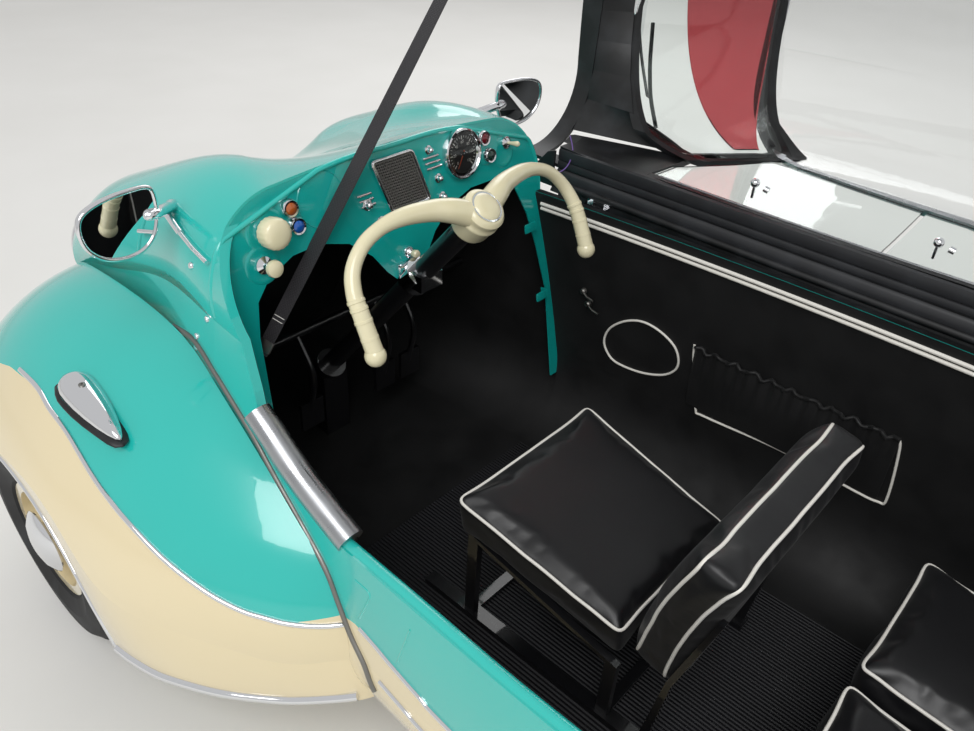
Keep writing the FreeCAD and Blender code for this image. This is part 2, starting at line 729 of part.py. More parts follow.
def screen_view(grow=0.0):
    """The windscreen's outline from in front: a drooping foot, upright sides and a round head."""
    g = grow
    side = screen_half + g
    foot_x, foot_z = screen_foot_x, screen_foot_z - g
    head_x, head_z = 288, 1055 + g
    points = [
        arc((-foot_x, 0, foot_z), (0, 0, screen_foot_mid - g), (foot_x, 0, foot_z)),
        arc((foot_x, 0, foot_z), (side - 8, 0, foot_z + 10), (side, 0, screen_side_low)),
        Part.makeLine(Vec(side, 0, screen_side_low), Vec(side, 0, 985)),
        arc((side, 0, 985), (side - 10, 0, 1028 + g * 0.7), (head_x, 0, head_z)),
        arc((head_x, 0, head_z), (0, 0, 1152 + g), (-head_x, 0, head_z)),
        arc((-head_x, 0, head_z), (-side + 10, 0, 1028 + g * 0.7), (-side, 0, 985)),
        Part.makeLine(Vec(-side, 0, 985), Vec(-side, 0, screen_side_low)),
        arc((-side, 0, screen_side_low), (-side + 8, 0, foot_z + 10), (-foot_x, 0, foot_z)),
    ]
    return Part.Face(Part.Wire(points)).extrude(Vec(0, FAR, 0))


screen = screen_band(screen_radius, screen_radius - pane).common(screen_view(0))
canopy("windscreen", screen)
border = screen_band(screen_radius + 3, screen_radius - pane - 5)
border = border.common(screen_view(9)).cut(screen_view(0.3))


def screen_y(x, z):
    """The windscreen's outer face: its place at a width and a height."""
    sag = screen_radius - math.sqrt(screen_radius ** 2 - x ** 2)
    return screen_place + screen_lean * (z - screen_datum) + sag


def foot_of_screen(x):
    """The lower edge of the windscreen in front view: a long arc that turns up at its ends."""
    rise = screen_foot_mid - screen_foot_z
    radius = (screen_foot_x ** 2 + rise ** 2) / (2 * rise)
    if abs(x) <= screen_foot_x:
        return screen_foot_mid - radius + math.sqrt(radius ** 2 - x ** 2)
    share = (abs(x) - screen_foot_x) / (screen_half - screen_foot_x)
    return screen_foot_z + (screen_side_low - screen_foot_z) * share ** 2


scuttle_thick = 5
scuttle_steps = 12
lifted_cowl = hull(COWL, -gap - lip)
ribs = []
for step in range(scuttle_steps + 1):
    x = screen_half * (2 * step / scuttle_steps - 1)
    probe = Part.makeLine(Vec(x, arch_end, 500), Vec(x, arch_end, FAR + 100))
    low = probe.common(lifted_cowl).BoundBox.ZMax
    high = foot_of_screen(x) - 5
    place = screen_y(x, high)
    ribs.append(Part.makePolygon([
        Vec(x, arch_end - 1, low - scuttle_thick), Vec(x, arch_end - 1, low),
        Vec(x, place, high), Vec(x, place + 2, high - scuttle_thick),
        Vec(x, arch_end - 1, low - scuttle_thick)]))
scuttle = loft(ribs, True)
quarter_view = prism_x([(arch_end + 6, rail_top + 0.3), (arch_end + 6, 800), (478, 866), (497, 889), (478, rail_top + 0.3)],
                       -FAR, FAR)
quarter = frame_skin.common(quarter_view).cut(body_room)
screen_frame = fused([border, scuttle, quarter]).cut(screen).cut(dome).cut(base).cut(dome_frame)
canopy("windscreen_frame", max(screen_frame.Solids, key=lambda piece: piece.Volume))
canopy("dome_frame", dome_frame.cut(screen))

visor_gap = 0.4
visor_thick = 2
visor = screen_band(screen_radius - pane - visor_gap, screen_radius - pane - visor_gap - visor_thick)
visor_view = Part.Face(Part.Wire([
    arc((-322, 0, 948), (0, 0, 1000), (322, 0, 948)),
    Part.makeLine(Vec(322, 0, 948), Vec(322, 0, 985)),
    arc((322, 0, 985), (226, 0, 1084), (0, 0, 1136)),
    arc((0, 0, 1136), (-226, 0, 1084), (-322, 0, 985)),
    Part.makeLine(Vec(-322, 0, 985), Vec(-322, 0, 948)),
])).extrude(Vec(0, FAR, 0))
canopy("sun_visor", visor.common(visor_view))


def on_screen(x, z, out):
    """A point in front of the windscreen by a distance."""
    reach = screen_radius + out
    sag = reach - math.sqrt(reach ** 2 - x ** 2)
    return (x, screen_place - out + screen_lean * (z - screen_datum) + sag, z)


arm_path = [on_screen(-60, 915, 16), on_screen(-100, 935, 20), on_screen(-190, 925, 20), on_screen(-255, 905, 16)]
blade_path = [on_screen(x, foot_of_screen(x) + 28, 4.6) for x in (-130, -200, -255, -300)]
pivot = Part.makeCylinder(7, 60, Vec(*arm_path[0]), Vec(0, 1, -0.3))
link = tube_along([arm_path[-1], blade_path[2]], 3)
wiper = tube_along(arm_path, 3).fuse(pivot).fuse(link).fuse(tube_along(blade_path, 4))
wiper = wiper.cut(scuttle).cut(border).cut(screen)
canopy("wiper", max(wiper.Solids, key=lambda piece: piece.Volume))


# Dash panel, instruments and handlebar

def on_dash(x, z, out=0.0):
    """A placement on the dash panel's rear face, its own Z pointing at the driver."""
    lean = math.atan(dash_slope)
    normal = Vec(0, math.cos(lean), math.sin(lean))
    spot = Vec(x, dash_y(z), z).add(normal * out)
    return FreeCAD.Placement(spot, FreeCAD.Rotation(Vec(0, 0, 1), normal))


panel_thick = 3
panel_plate = prism_x([(dash_y(0, -panel_thick), 0), (dash_y(0), 0), (dash_y(FAR), FAR),
                       (dash_y(FAR, -panel_thick), FAR)], -FAR, FAR)
panel_room = hull(COWL, skin + 0.3).fuse(hull(TUB, skin + 0.3))
panel_room = panel_room.cut(block(-FAR, FAR, 0, FAR, 0, 290))
leg_hole = [(-362, 250), (-357, 490), (-334, 590), (-312, 660), (-280, 722), (-230, 750), (-165, 750),
            (-112, 734), (-70, 700), (-44, 664), (-20, 640), (20, 640), (44, 664), (70, 700), (112, 734), (165, 750),
            (215, 748), (262, 728), (287, 700), (296, 650), (299, 590), (303, 500), (316, 400), (330, 250)]
# The steering axis runs through the clamp on the dash's tongue and the hub
hub = Vec(0, float(S.hub_place), float(S.hub_height))
clamp_spot = Vec(0, 358, 686)
steer_axis = hub.sub(clamp_spot).normalize()
steer_turn = FreeCAD.Rotation(Vec(0, 0, 1), steer_axis)
column_r = float(S.column_radius)
column_room = Part.makeCylinder(column_r + gap, FAR, hub.sub(steer_axis * FAR), steer_axis)
panel = panel_plate.common(panel_room).cut(prism_y(leg_hole, 0, FAR)).cut(column_room)
feature("dash_panel", panel)

seat_gap = 0.3
turned("speedometer", [(0, 0), (43, 0), (43, 9), (39, 13), (35, 9), (0, 9)], on_dash(-146, 814, seat_gap))

# Columns: x, z, radius, length, knob radius, knob length.
CONTROLS = [
    (251, 796, 11, 14, 22, 22),
    (267, 751, 6, 22, 12, 12),
    (-261, 807, 10, 8, 5, 22),
    (-4, 684, 8, 10, 6, 14),
    (-203, 827, 14, 8, 9, 3),
    (-215, 795, 14, 8, 9, 3),
    (208, 817, 14, 8, 9, 3),
    (201, 789, 14, 8, 9, 3),
    (-73, 836, 8, 8, 5, 4),
    (-89, 786, 8, 8, 5, 4),
    (67, 783, 9, 9, 6, 5),
    (44, 749, 9, 9, 6, 5),
]
controls = []
for x, z, stem, reach, knob, tall in CONTROLS:
    part = Part.makeCylinder(stem, reach, Vec(0, 0, 0)).fuse(Part.makeCylinder(knob, tall, Vec(0, 0, reach)))
    part.Placement = on_dash(x, z, seat_gap)
    controls.append(part)
feature("dash_controls", Part.makeCompound(controls))

grille_face = [(50, 844), (-34, 845), (-62, 759), (21, 760)]
grille_thick = 5
grille = prism_y(grille_face, 0, FAR).common(prism_x(
    [(dash_y(0, seat_gap), 0), (dash_y(0, seat_gap + grille_thick), 0),
     (dash_y(FAR, seat_gap + grille_thick), FAR), (dash_y(FAR, seat_gap), FAR)], -FAR, FAR))
feature("dash_grille", grille)

foot_length = 640
foot_spot = hub.sub(steer_axis * foot_length)


def along_column(distance):
    """A placement on the steering axis, its own Z along it, measured down from the hub."""
    return FreeCAD.Placement(hub.sub(steer_axis * distance), steer_turn)


bar_r = float(S.bar_radius)
half = float(S.bar_half)
arm = [(0, 457, 806), (80, 438, 826), (165, 428, 826), (228, 440, 792), (half, 470, 740), (half, 494, 687)]
bar = fused([tube_along(arm, bar_r), tube_along([mirrored_x(p) for p in arm], bar_r),
             Part.makeSphere(bar_r + 3, Vec(*arm[-1])), Part.makeSphere(bar_r + 3, Vec(*mirrored_x(arm[-1])))])
boss = Part.makeCylinder(36, 42, Vec(0, 0, -18))
boss = boss.makeFillet(9, [e for e in boss.Edges if isinstance(e.Curve, Part.Circle)])
boss.Placement = FreeCAD.Placement(hub, steer_turn)
root = Part.makeCone(bar_r + 7, bar_r, 90, Vec(*arm[0]), Vec(*arm[1]).sub(Vec(*arm[0])))
roots = [root, root.mirror(Vec(0, 0, 0), Vec(1, 0, 0))]
feature("handlebar", fused([bar, boss] + roots))
shaft = Part.makeCylinder(column_r, foot_length - 20.3)
feature("steering_shaft", shaft, along_column(foot_length))

beyond_dash = prism_x([(dash_y(0, seat_gap), 0), (FAR, 0), (FAR, FAR), (dash_y(FAR, seat_gap), FAR)], -FAR, FAR)
collar_low = clamp_spot.sub(steer_axis * 62)
collar = Part.makeCylinder(column_r + 9, 32, collar_low, steer_axis)
arm_block = block(-24, 24, dash_y(690, seat_gap), 362, 640, 668)
plate_view = prism_x([(dash_y(0, seat_gap), 0), (dash_y(0, seat_gap + 6), 0), (dash_y(FAR, seat_gap + 6), FAR),
                      (dash_y(FAR, seat_gap), FAR)], -FAR, FAR)
flange = plate_view.common(block(-26, 26, 0, FAR, 636, 672))
bracket = fused([collar, arm_block, flange]).common(beyond_dash)
bracket = bracket.cut(Part.makeCylinder(column_r + run_gap, 400, clamp_spot.sub(steer_axis * 200), steer_axis))
feature("column_clamp", bracket)

bearing = Part.makeCylinder(column_r + 12, 40, foot_spot.add(steer_axis * 6), steer_axis)
post = block(-30, 30, foot_spot.y - 14, foot_spot.y + 40, S.floor_height, foot_spot.z + 12)
bearing = bearing.fuse(post.common(hull(COWL, skin + 0.3))).cut(
    Part.makeCylinder(column_r + run_gap, 400, foot_spot.sub(steer_axis * 60), steer_axis))
feature("column_foot", bearing.removeSplitter())

# Pedals hang on one shaft under the dash
pedal_shaft = Part.makeCylinder(8, 760, Vec(-380, 100, 470), Vec(1, 0, 0))
legs = [pedal_shaft]
for x in (-165, -95, 95):
    legs.append(tube_along([(x, 100, 470), (x, 150, 400), (x, 125, 300)], 6))
    pad = Part.makeBox(52, 8, 62, Vec(x - 26, 124, 268))
    legs.append(pad)
feature("pedals", fused(legs).common(hull(COWL, skin + 0.3)))


# Seats

def rounded(shape, radius, pick=None):
    edges = [e for e in shape.Edges if pick is None or pick(e)]
    return shape.makeFillet(radius, edges)


def cushion(corners_low, corners_high, radius):
    """A pad between two four cornered outlines, its edges rounded."""
    wires = [Part.makePolygon([Vec(*p) for p in corners + corners[:1]]) for corners in (corners_low, corners_high)]
    return rounded(loft(wires, True), radius)


seat_y0 = float(S.seat_front)
seat_y1 = seat_y0 + float(S.seat_length)
seat_half = float(S.seat_width) / 2
seat_back_half = seat_half - 24
seat_z = float(S.seat_top)
seat_fall = 70
pad_thick = 78


def seat_plan(z_front, z_rear, inset=0.0):
    return [(-seat_half + inset, seat_y0 + inset, z_front), (seat_half - inset, seat_y0 + inset, z_front),
            (seat_back_half - inset, seat_y1, z_rear), (-seat_back_half + inset, seat_y1, z_rear)]


feature("seat_cushion", cushion(seat_plan(seat_z - pad_thick, seat_z - pad_thick - seat_fall + 8, 8),
                                seat_plan(seat_z, seat_z - seat_fall), 14))
back_lean = 0.22
back_foot = (seat_y1 + 6, seat_z - seat_fall - 34)
back_tall = 285
back_thick = 62


def back_plan(y, z, half_width):
    return [(-half_width, y, z), (half_width, y, z), (half_width, y + back_thick, z - 12),
            (-half_width, y + back_thick, z - 12)]


feature("seat_back", cushion(back_plan(back_foot[0], back_foot[1], 165),
                             back_plan(back_foot[0] + back_tall * back_lean * 1.2, back_foot[1] + back_tall, 200), 16))

floor_top = float(S.floor_height) + wall


def under_pad(y):
    """The place just under the driver's cushion at a distance back."""
    share = (y - seat_y0 - 8) / (seat_y1 - seat_y0 - 8)
    return seat_z - pad_thick - 0.3 - (seat_fall - 8) * share


rail_half = 150
frame_bar = 9
frame = []
for side in (-1, 1):
    x = side * rail_half
    frame.append(block(x - 12, x + 12, seat_y0 - 60, seat_y1 + 70, floor_top + 0.3, floor_top + 12))
    front_leg, rear_leg = seat_y0 + 30, seat_y1 - 20
    frame.append(prism_x([(front_leg, floor_top + 6), (front_leg + 20, floor_top + 6),
                          (front_leg + 20, under_pad(front_leg + 20) - 8), (rear_leg, under_pad(rear_leg) - 8),
                          (rear_leg, floor_top + 6), (rear_leg + 20, floor_top + 6),
                          (rear_leg + 20, under_pad(rear_leg + 20)), (front_leg, under_pad(front_leg))], x - 6, x + 6))
for y in (seat_y0 + 40, seat_y1 - 10):
    frame.append(block(-rail_half, rail_half, y - frame_bar, y + frame_bar, floor_top + 3, floor_top + 11))
back_rise = back_tall * back_lean * 1.2 / back_tall


def behind_back(z):
    """The place just behind the backrest's rear face at a height."""
    return back_foot[0] + back_thick + 0.4 + back_rise * (z - back_foot[1] + 12)


back_stay = prism_x([(seat_y1 + 52, floor_top + 6), (seat_y1 + 66, floor_top + 6), (behind_back(352) + 8, 346),
                     (behind_back(510) + 8, 510), (behind_back(510), 510), (behind_back(352), 352)], -6, 6)
for side in (-1, 1):
    stay = back_stay.copy()
    stay.translate(Vec(side * rail_half, 0, 0))
    frame.append(stay)
feature("seat_frame", fused(frame))

rear_y0, rear_y1 = 1150, end - 70
rear_half = 290
rear_low, rear_high = 300, 392
feature("rear_cushion", cushion(
    [(-rear_half, rear_y0, rear_low), (rear_half, rear_y0, rear_low), (rear_half, rear_y1, rear_low),
     (-rear_half, rear_y1, rear_low)],
    [(-rear_half, rear_y0 - 6, rear_high + 12), (rear_half, rear_y0 - 6, rear_high + 12),
     (rear_half, rear_y1, rear_high - 14), (-rear_half, rear_y1, rear_high - 14)], 18))
feature("rear_back", cushion(
    [(-rear_half, rear_y1 - 22, rear_high + 2), (rear_half, rear_y1 - 22, rear_high + 2),
     (rear_half, end - 0.3, rear_high + 2), (-rear_half, end - 0.3, rear_high + 2)],
    [(-rear_half + 40, end - 62, 680), (rear_half - 40, end - 62, 680),
     (rear_half - 40, end - 0.3, 680), (-rear_half + 40, end - 0.3, 680)], 16))
box = block(-rear_half, rear_half, rear_y0 + 20, end - 0.3, floor_top + 0.3, rear_low - 0.3)
box = box.cut(block(-rear_half + 6, rear_half - 6, rear_y0 + 26, end + 10, floor_top - 10, rear_low - 6))
box = box.common(hull(TUB, wall + 0.3))
feature("rear_seat_box", max(box.Solids, key=lambda piece: piece.Volume))


# Lamps, mirrors and outside fittings

lamp_r = float(S.lamp_radius)
lamp_side = float(S.lamp_side)
lamp_z = float(S.lamp_height)
lamp_y = float(S.lamp_front)
to_front = FreeCAD.Rotation(Vec(0, 0, 1), Vec(0, -1, 0))


def spun(corners):
    """A shape turned about Z from (radius, height) corners."""
    face = Part.Face(Part.makePolygon([Vec(r, 0, z) for r, z in corners + corners[:1]]))
    return face.revolve(Vec(0, 0, 0), Vec(0, 0, 1), 360)


def placed(shape, placement):
    moved = shape.copy()
    moved.Placement = placement
    return moved


bowl = spun([(lamp_r - 12, 0.3), (lamp_r, 0.3), (lamp_r + 3, 8), (lamp_r - 3, 20), (lamp_r - 9, 22),
             (lamp_r - 9, 16), (lamp_r - 14, 4), (48, -26), (0, -34), (0, -38), (50, -30), (lamp_r - 16, -3)])
lens = Part.makeSphere(150, Vec(0, 0, 16 + 7 - 150)).cut(Part.makeSphere(146, Vec(0, 0, 16 + 7 - 150)))
lens = lens.common(Part.makeCylinder(lamp_r - 14.5, 60, Vec(0, 0, 0)))
lamps = [FreeCAD.Placement(Vec(side * lamp_side, lamp_y, lamp_z), to_front) for side in (-1, 1)]
rims = [placed(bowl, at).cut(nose) for at in lamps]
feature("headlamp_rims", Part.makeCompound([max(rim.Solids, key=lambda piece: piece.Volume) for rim in rims]))
feature("headlamp_lenses", Part.makeCompound([placed(lens, at) for at in lamps]))

# A mirror stands on each shoulder of the cowl, on a short stem
mirror_wide, mirror_tall, mirror_deep = 112, 84, 18
mirror_round = 29
dish = block(-mirror_wide / 2, mirror_wide / 2, -mirror_deep, 0, -mirror_tall / 2, mirror_tall / 2)
dish = rounded(dish, mirror_round, lambda e: abs(e.tangentAt(e.FirstParameter).y) > 0.99)
dish = rounded(dish, 10, lambda e: e.BoundBox.YMax < -mirror_deep + 0.1)
# Columns: side, head's middle y and z, head's turn to the driver.
MIRRORS = [(1, 212, 832, 7), (-1, 168, 822, -9)]
mirror_x = 424
mirror_foot = (286, 118, 786)
heads = []
for side, y, z, turn in MIRRORS:
    head = placed(dish, FreeCAD.Placement(Vec(side * mirror_x, y, z), FreeCAD.Rotation(Vec(0, 0, 1), turn)))
    stem = tube_along([(side * mirror_foot[0], mirror_foot[1], mirror_foot[2]),
                       (side * (mirror_x - 22), y - 8, z)], 7)
    collar = Part.makeCylinder(12, 26, Vec(side * 296, 118, 790), Vec(side * 0.9, 0.3, 0.34))
    mirror = fused([head, stem, collar]).cut(hull(COWL, -0.3))
    heads.append(max(mirror.Solids, key=lambda piece: piece.Volume))
feature("mirrors", Part.makeCompound(heads))

# Teardrop indicator lamps on the fenders: blunt in front, drawn out to a point behind
lamp_nose = Part.makeSphere(26)
stretch = FreeCAD.Matrix()
stretch.scale(1.0, 1.0, 1.3)
lamp_nose = lamp_nose.transformGeometry(stretch)
tail_wires = [Part.Wire([Part.makeCircle(r, Vec(0, y, z), Vec(0, 1, 0))])
              for y, r, z in ((0, 26, 0), (45, 22, -3), (90, 13, -12), (118, 4, -22))]
teardrop = lamp_nose.fuse(loft(tail_wires))
teardrop.Placement = FreeCAD.Placement(Vec(506, 150, 583), FreeCAD.Rotation(Vec(0, 0, 1), -2))
plinth = Part.makeCylinder(26, 30, Vec(506, 158, 544))
wedge = prism_z([(482, 158), (530, 158), (514, 262), (504, 262)], 544, 572)
indicator = plinth.fuse(wedge).fuse(teardrop).cut(fender_solid(-0.3))
feature("indicators", both_sides(max(indicator.Solids, key=lambda piece: piece.Volume)))

# The half round cover on the left sill's slope
cover_view = prism_x([(412, 0), (412, 700), (604, 700), (604, 0)], 0, FAR)
cover = hull(TUB, -4).cut(hull(TUB, -0.3)).common(cover_view).common(below_left_sill(0)).cut(below_left_sill(-34))
feature("sill_cover", cover)


# Running gear

tyre_r = float(S.tyre_radius)
axle_x = float(S.front_track) / 2
king_x = axle_x - float(S.king_inset)
base_y = float(S.wheelbase)
seat_r = S.rim_radius
flange_r = seat_r + 10
edge = S.rim_width / 2
across = FreeCAD.Rotation(Vec(0, 1, 0), 90)
back_across = FreeCAD.Rotation(Vec(0, 1, 0), -90)
WHEELS = [
    ("front_left", FreeCAD.Placement(Vec(axle_x, 0, tyre_r), across)),
    ("front_right", FreeCAD.Placement(Vec(-axle_x, 0, tyre_r), back_across)),
    ("rear", FreeCAD.Placement(Vec(0, base_y, tyre_r), across)),
]
bore = S.axle_radius + S.bore_gap
fit = seat_r + 0.3
bulge = S.tyre_width / 2
for name, spot in WHEELS:
    turned(f"rim_{name}", [
        (bore, -32), (bore + 21, -32), (bore + 21, 2), (seat_r - 8, 4), (seat_r - 8, -edge), (flange_r, -edge),
        (flange_r, -edge + 3), (seat_r, -edge + 3), (seat_r, edge - 3), (flange_r, edge - 3), (flange_r, edge),
        (seat_r - 8, edge), (seat_r - 8, 12), (bore + 21, 12), (bore + 21, 38), (bore, 38)], spot)
    turned(f"tyre_{name}", [
        (fit, -edge + 3.3), (flange_r + 0.5, -edge + 3.3), (flange_r + 6, -edge - 4), (S.tyre_radius - 58, -bulge),
        (S.tyre_radius - 20, -bulge + 4), (S.tyre_radius - 7, -bulge + 14), (S.tyre_radius, -bulge + 32),
        (S.tyre_radius, bulge - 32), (S.tyre_radius - 7, bulge - 14), (S.tyre_radius - 20, bulge - 4),
        (S.tyre_radius - 58, bulge), (flange_r + 6, edge + 4), (flange_r + 0.5, edge - 3.3), (fit, edge - 3.3)], spot)

king_r = float(S.king_radius)
pin_r = 8
post_low, post_high = 155, 260
boss_gap = 0.5
axle_r = float(S.axle_radius)
for name, side in (("left", 1), ("right", -1)):
    x = side * king_x
    knuckle = fused([
        Part.makeCylinder(king_r, post_high - post_low, Vec(x, 0, post_low)),
        Part.makeCylinder(pin_r, 160, Vec(x, 0, 128)),
        Part.makeCylinder(axle_r, axle_x - king_x + 46, Vec(x, 0, tyre_r), Vec(side, 0, 0)),
        Part.makeCylinder(axle_r + 5, 12, Vec(x + side * king_r * 0.5, 0, tyre_r), Vec(side, 0, 0)),
    ])
    feature(f"knuckle_{name}", knuckle)

arms = []
boss_r = 20
boss_tall = 22
for low in (post_high + boss_gap, post_low - boss_gap - boss_tall):
    centre = low + boss_tall / 2
    inner_z = max(centre, 200)
    for y in (-70, 70):
        arms.append(tube_along([(king_x - 10, 0, centre), ((king_x + 320) / 2 - 20, y * 0.8, (centre + inner_z) / 2),
                                (250, y, inner_z)], 9))
    arms.append(Part.makeCylinder(boss_r, boss_tall, Vec(king_x, 0, low)))
arms = fused(arms).cut(hull(COWL, -0.05)).cut(hull(NOSE, -0.05))
for low in (post_high + boss_gap, post_low - boss_gap - boss_tall):
    arms = arms.cut(Part.makeCylinder(pin_r + run_gap, boss_tall + 2, Vec(king_x, 0, low - 1)))
feature("suspension_arms", both_sides(Part.makeCompound([s for s in arms.Solids if s.Volume > 2000])))

# Engine, its frame and the fork that carries the rear wheel
rail_r = hinge_tube_r
frame_x = 150
engine_half = frame_x - rail_r - 4
rear_rail = [(frame_x, bulkhead_end + 0.3, 285), (frame_x, 1820, 285), (104, 2080, 292),
             (58, hinge_y, hinge_tube_z)]
rails = fused([tube_along(rear_rail, rail_r), tube_along([mirrored_x(p) for p in rear_rail], rail_r),
               Part.makeCylinder(rail_r, 150, Vec(-75, hinge_y, hinge_tube_z), Vec(1, 0, 0))])
feature("tail_frame", rails)
engine_rear = 1770
engine_low = 215
feature("engine_block", rounded(block(-engine_half, engine_half, end + 45, engine_rear, engine_low, 500), 8))
fork_x = 74
pivot_y = engine_rear + 20.3
fork = fused([
    Part.makeCylinder(20, 2 * fork_x + 30, Vec(-fork_x - 15, pivot_y, 270), Vec(1, 0, 0)),
    tube_along([(fork_x, pivot_y, 270), (fork_x, pivot_y + 110, 245), (fork_x, base_y, tyre_r)], 12),
    tube_along([(-fork_x, pivot_y, 270), (-fork_x, pivot_y + 110, 245), (-fork_x, base_y, tyre_r)], 12),
    Part.makeCylinder(22, 14, Vec(fork_x - 7, base_y, tyre_r), Vec(1, 0, 0)),
    Part.makeCylinder(22, 14, Vec(-fork_x - 7, base_y, tyre_r), Vec(1, 0, 0)),
    Part.makeCylinder(axle_r, 2 * fork_x + 34, Vec(-fork_x - 17, base_y, tyre_r), Vec(1, 0, 0)),
])
feature("rear_fork", fork)
silencer = fused([Part.makeCylinder(34, 230, Vec(-115, 1655, engine_low - 32), Vec(1, 0, 0)),
                  tube_along([(-100, 1655, 180), (-128, 1720, 186), (-128, 2120, 200)], 14)])
feature("silencer", silencer.cut(block(-200, 200, 1500, 1800, engine_low - 0.3, 300)))

# Tail lamps ride on the tail cover
lamp_turn = FreeCAD.Rotation(Vec(0, 0, 1), Vec(0, 1, 0))
tail_lamp = spun([(0, 0), (26, 0), (28, 6), (24, 16), (14, 22), (0, 24)])
spots = []
for side in (-1, 1):
    probe = Part.makeLine(Vec(side * 120, 2150, 455), Vec(side * 120, 2420, 455))
    hit = probe.common(hull(TAIL)).BoundBox.YMax
    spots.append(FreeCAD.Placement(Vec(side * 120, hit, 455), lamp_turn))
lamp_pair = [placed(tail_lamp.fuse(Part.makeCylinder(22, 60, Vec(0, 0, -59))), at) for at in spots]
lamp_pair = [one.cut(hull(TAIL, -0.3)) for one in lamp_pair]
feature("tail_lamps", Part.makeCompound([max(one.Solids, key=lambda piece: piece.Volume) for one in lamp_pair]))

# The webbing strap that stops the canopy runs from the dash's left leg to the canopy's front arch
strap_wide = 28
strap_thick = 2
strap_low = Vec(298, dash_y(612, seat_gap + strap_wide / 2), 612)
strap_high = Vec(-400, 281, 1457)
way = strap_high.sub(strap_low)
strap_turn = FreeCAD.Rotation(Vec(-0.3, 1, -0.2), Vec(0, 0, 0), way, "ZXY")
strap = Part.makeBox(strap_wide, strap_thick, way.Length, Vec(-strap_wide / 2, -strap_thick / 2, 0))
feature("check_strap", strap, FreeCAD.Placement(strap_low, strap_turn))


# Every object is sound before anything is written

doc.recompute()
for obj in doc.Objects:
    if "Invalid" in obj.State or "Error" in obj.State:
        raise RuntimeError(f"{obj.Label} failed: {obj.State}")
for obj in pieces:
    if obj.Shape.isNull() or not obj.Shape.isValid() or not obj.Shape.Solids:
        raise RuntimeError(f"{obj.Label} has no sound solid")
for obj in pieces:
    obj.Shape.exportStep(f"parts/{obj.Label}.step")
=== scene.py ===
"""A two tone bubble car with its side canopy open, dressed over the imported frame."""
import json
import math

import bmesh
import bpy
from mathutils import Matrix, Vector
from mathutils.bvhtree import BVHTree


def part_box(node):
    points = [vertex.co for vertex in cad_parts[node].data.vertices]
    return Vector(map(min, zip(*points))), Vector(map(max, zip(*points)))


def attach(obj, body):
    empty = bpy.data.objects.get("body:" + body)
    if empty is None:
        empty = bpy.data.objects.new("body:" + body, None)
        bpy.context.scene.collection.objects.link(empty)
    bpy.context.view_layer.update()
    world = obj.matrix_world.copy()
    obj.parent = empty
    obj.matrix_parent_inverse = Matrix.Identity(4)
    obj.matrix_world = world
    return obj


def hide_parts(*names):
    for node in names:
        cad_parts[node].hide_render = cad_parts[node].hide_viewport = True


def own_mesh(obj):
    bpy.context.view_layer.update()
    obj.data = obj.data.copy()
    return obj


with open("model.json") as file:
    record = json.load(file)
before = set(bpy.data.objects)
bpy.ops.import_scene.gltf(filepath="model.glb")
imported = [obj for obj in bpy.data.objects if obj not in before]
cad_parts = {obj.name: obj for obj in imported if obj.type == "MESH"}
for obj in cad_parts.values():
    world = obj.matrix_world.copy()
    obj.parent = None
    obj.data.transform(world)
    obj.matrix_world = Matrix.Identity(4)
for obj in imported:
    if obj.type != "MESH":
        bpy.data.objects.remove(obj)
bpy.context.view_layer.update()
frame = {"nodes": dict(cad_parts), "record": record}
nodes = frame["nodes"]
MM = 0.001


# Camera, fitted to the photographed view: in metres and radians, its lens in millimetres

CAMERA_PLACE = (0.8424, 1.2094, 1.3161)
CAMERA_YAW, CAMERA_PITCH, CAMERA_ROLL = -0.865377, 0.604880, 0.061191
CAMERA_LENS, SENSOR_WIDTH = 30.406, 36


def aim_camera():
    """Stand behind the left rear of the cabin, looking forward and down into it."""
    level_share, drop = math.cos(CAMERA_PITCH), math.sin(CAMERA_PITCH)
    ahead = Vector((math.sin(CAMERA_YAW) * level_share, -math.cos(CAMERA_YAW) * level_share, -drop))
    level = ahead.cross(Vector((0, 0, 1))).normalized()
    rise = level.cross(ahead)
    right = level * math.cos(CAMERA_ROLL) + rise * math.sin(CAMERA_ROLL)
    top = rise * math.cos(CAMERA_ROLL) - level * math.sin(CAMERA_ROLL)
    bpy.ops.object.camera_add()
    camera = bpy.context.object
    turn = Matrix((right, top, -ahead)).transposed().to_4x4()
    camera.matrix_world = Matrix.Translation(CAMERA_PLACE) @ turn
    camera.data.sensor_width = SENSOR_WIDTH
    camera.data.lens = CAMERA_LENS
    bpy.context.scene.camera = camera


aim_camera()


# Colour and node helpers

def linear(code):
    """An sRGB hex colour as linear numbers."""
    parts = [int(code[i:i + 2], 16) / 255 for i in (1, 3, 5)]
    return tuple(c / 12.92 if c <= 0.04045 else ((c + 0.055) / 1.055) ** 2.4 for c in parts) + (1.0,)


def add(material, kind, settings=None, links=None, **attributes):
    """Add one node with its settings, its linked sockets and its options."""
    made = material.node_tree.nodes.new("ShaderNode" + kind)
    for name, value in attributes.items():
        setattr(made, name, value)
    for name, value in (settings or {}).items():
        made.inputs[name].default_value = value
    for name, source in (links or {}).items():
        material.node_tree.links.new(source, made.inputs[name])
    return made


def finish(name, colour, roughness, **sockets):
    """A material on the Principled shader, its plain values on the shader's own sockets."""
    material = bpy.data.materials.new(name)
    material.use_nodes = True
    shader = material.node_tree.nodes["Principled BSDF"]
    shader.inputs["Base Color"].default_value = linear(colour)
    shader.inputs["Roughness"].default_value = roughness
    for socket, value in sockets.items():
        shader.inputs[socket.replace("_", " ")].default_value = value
    return material, shader


def join(material, source, shader, socket):
    material.node_tree.links.new(source, shader.inputs[socket])


# Finishes

TEAL, TEAL_LIGHT = "#1BB5AB", "#29C4BA"
CREAM, CREAM_LIGHT = "#E0CFA6", "#EADCB8"
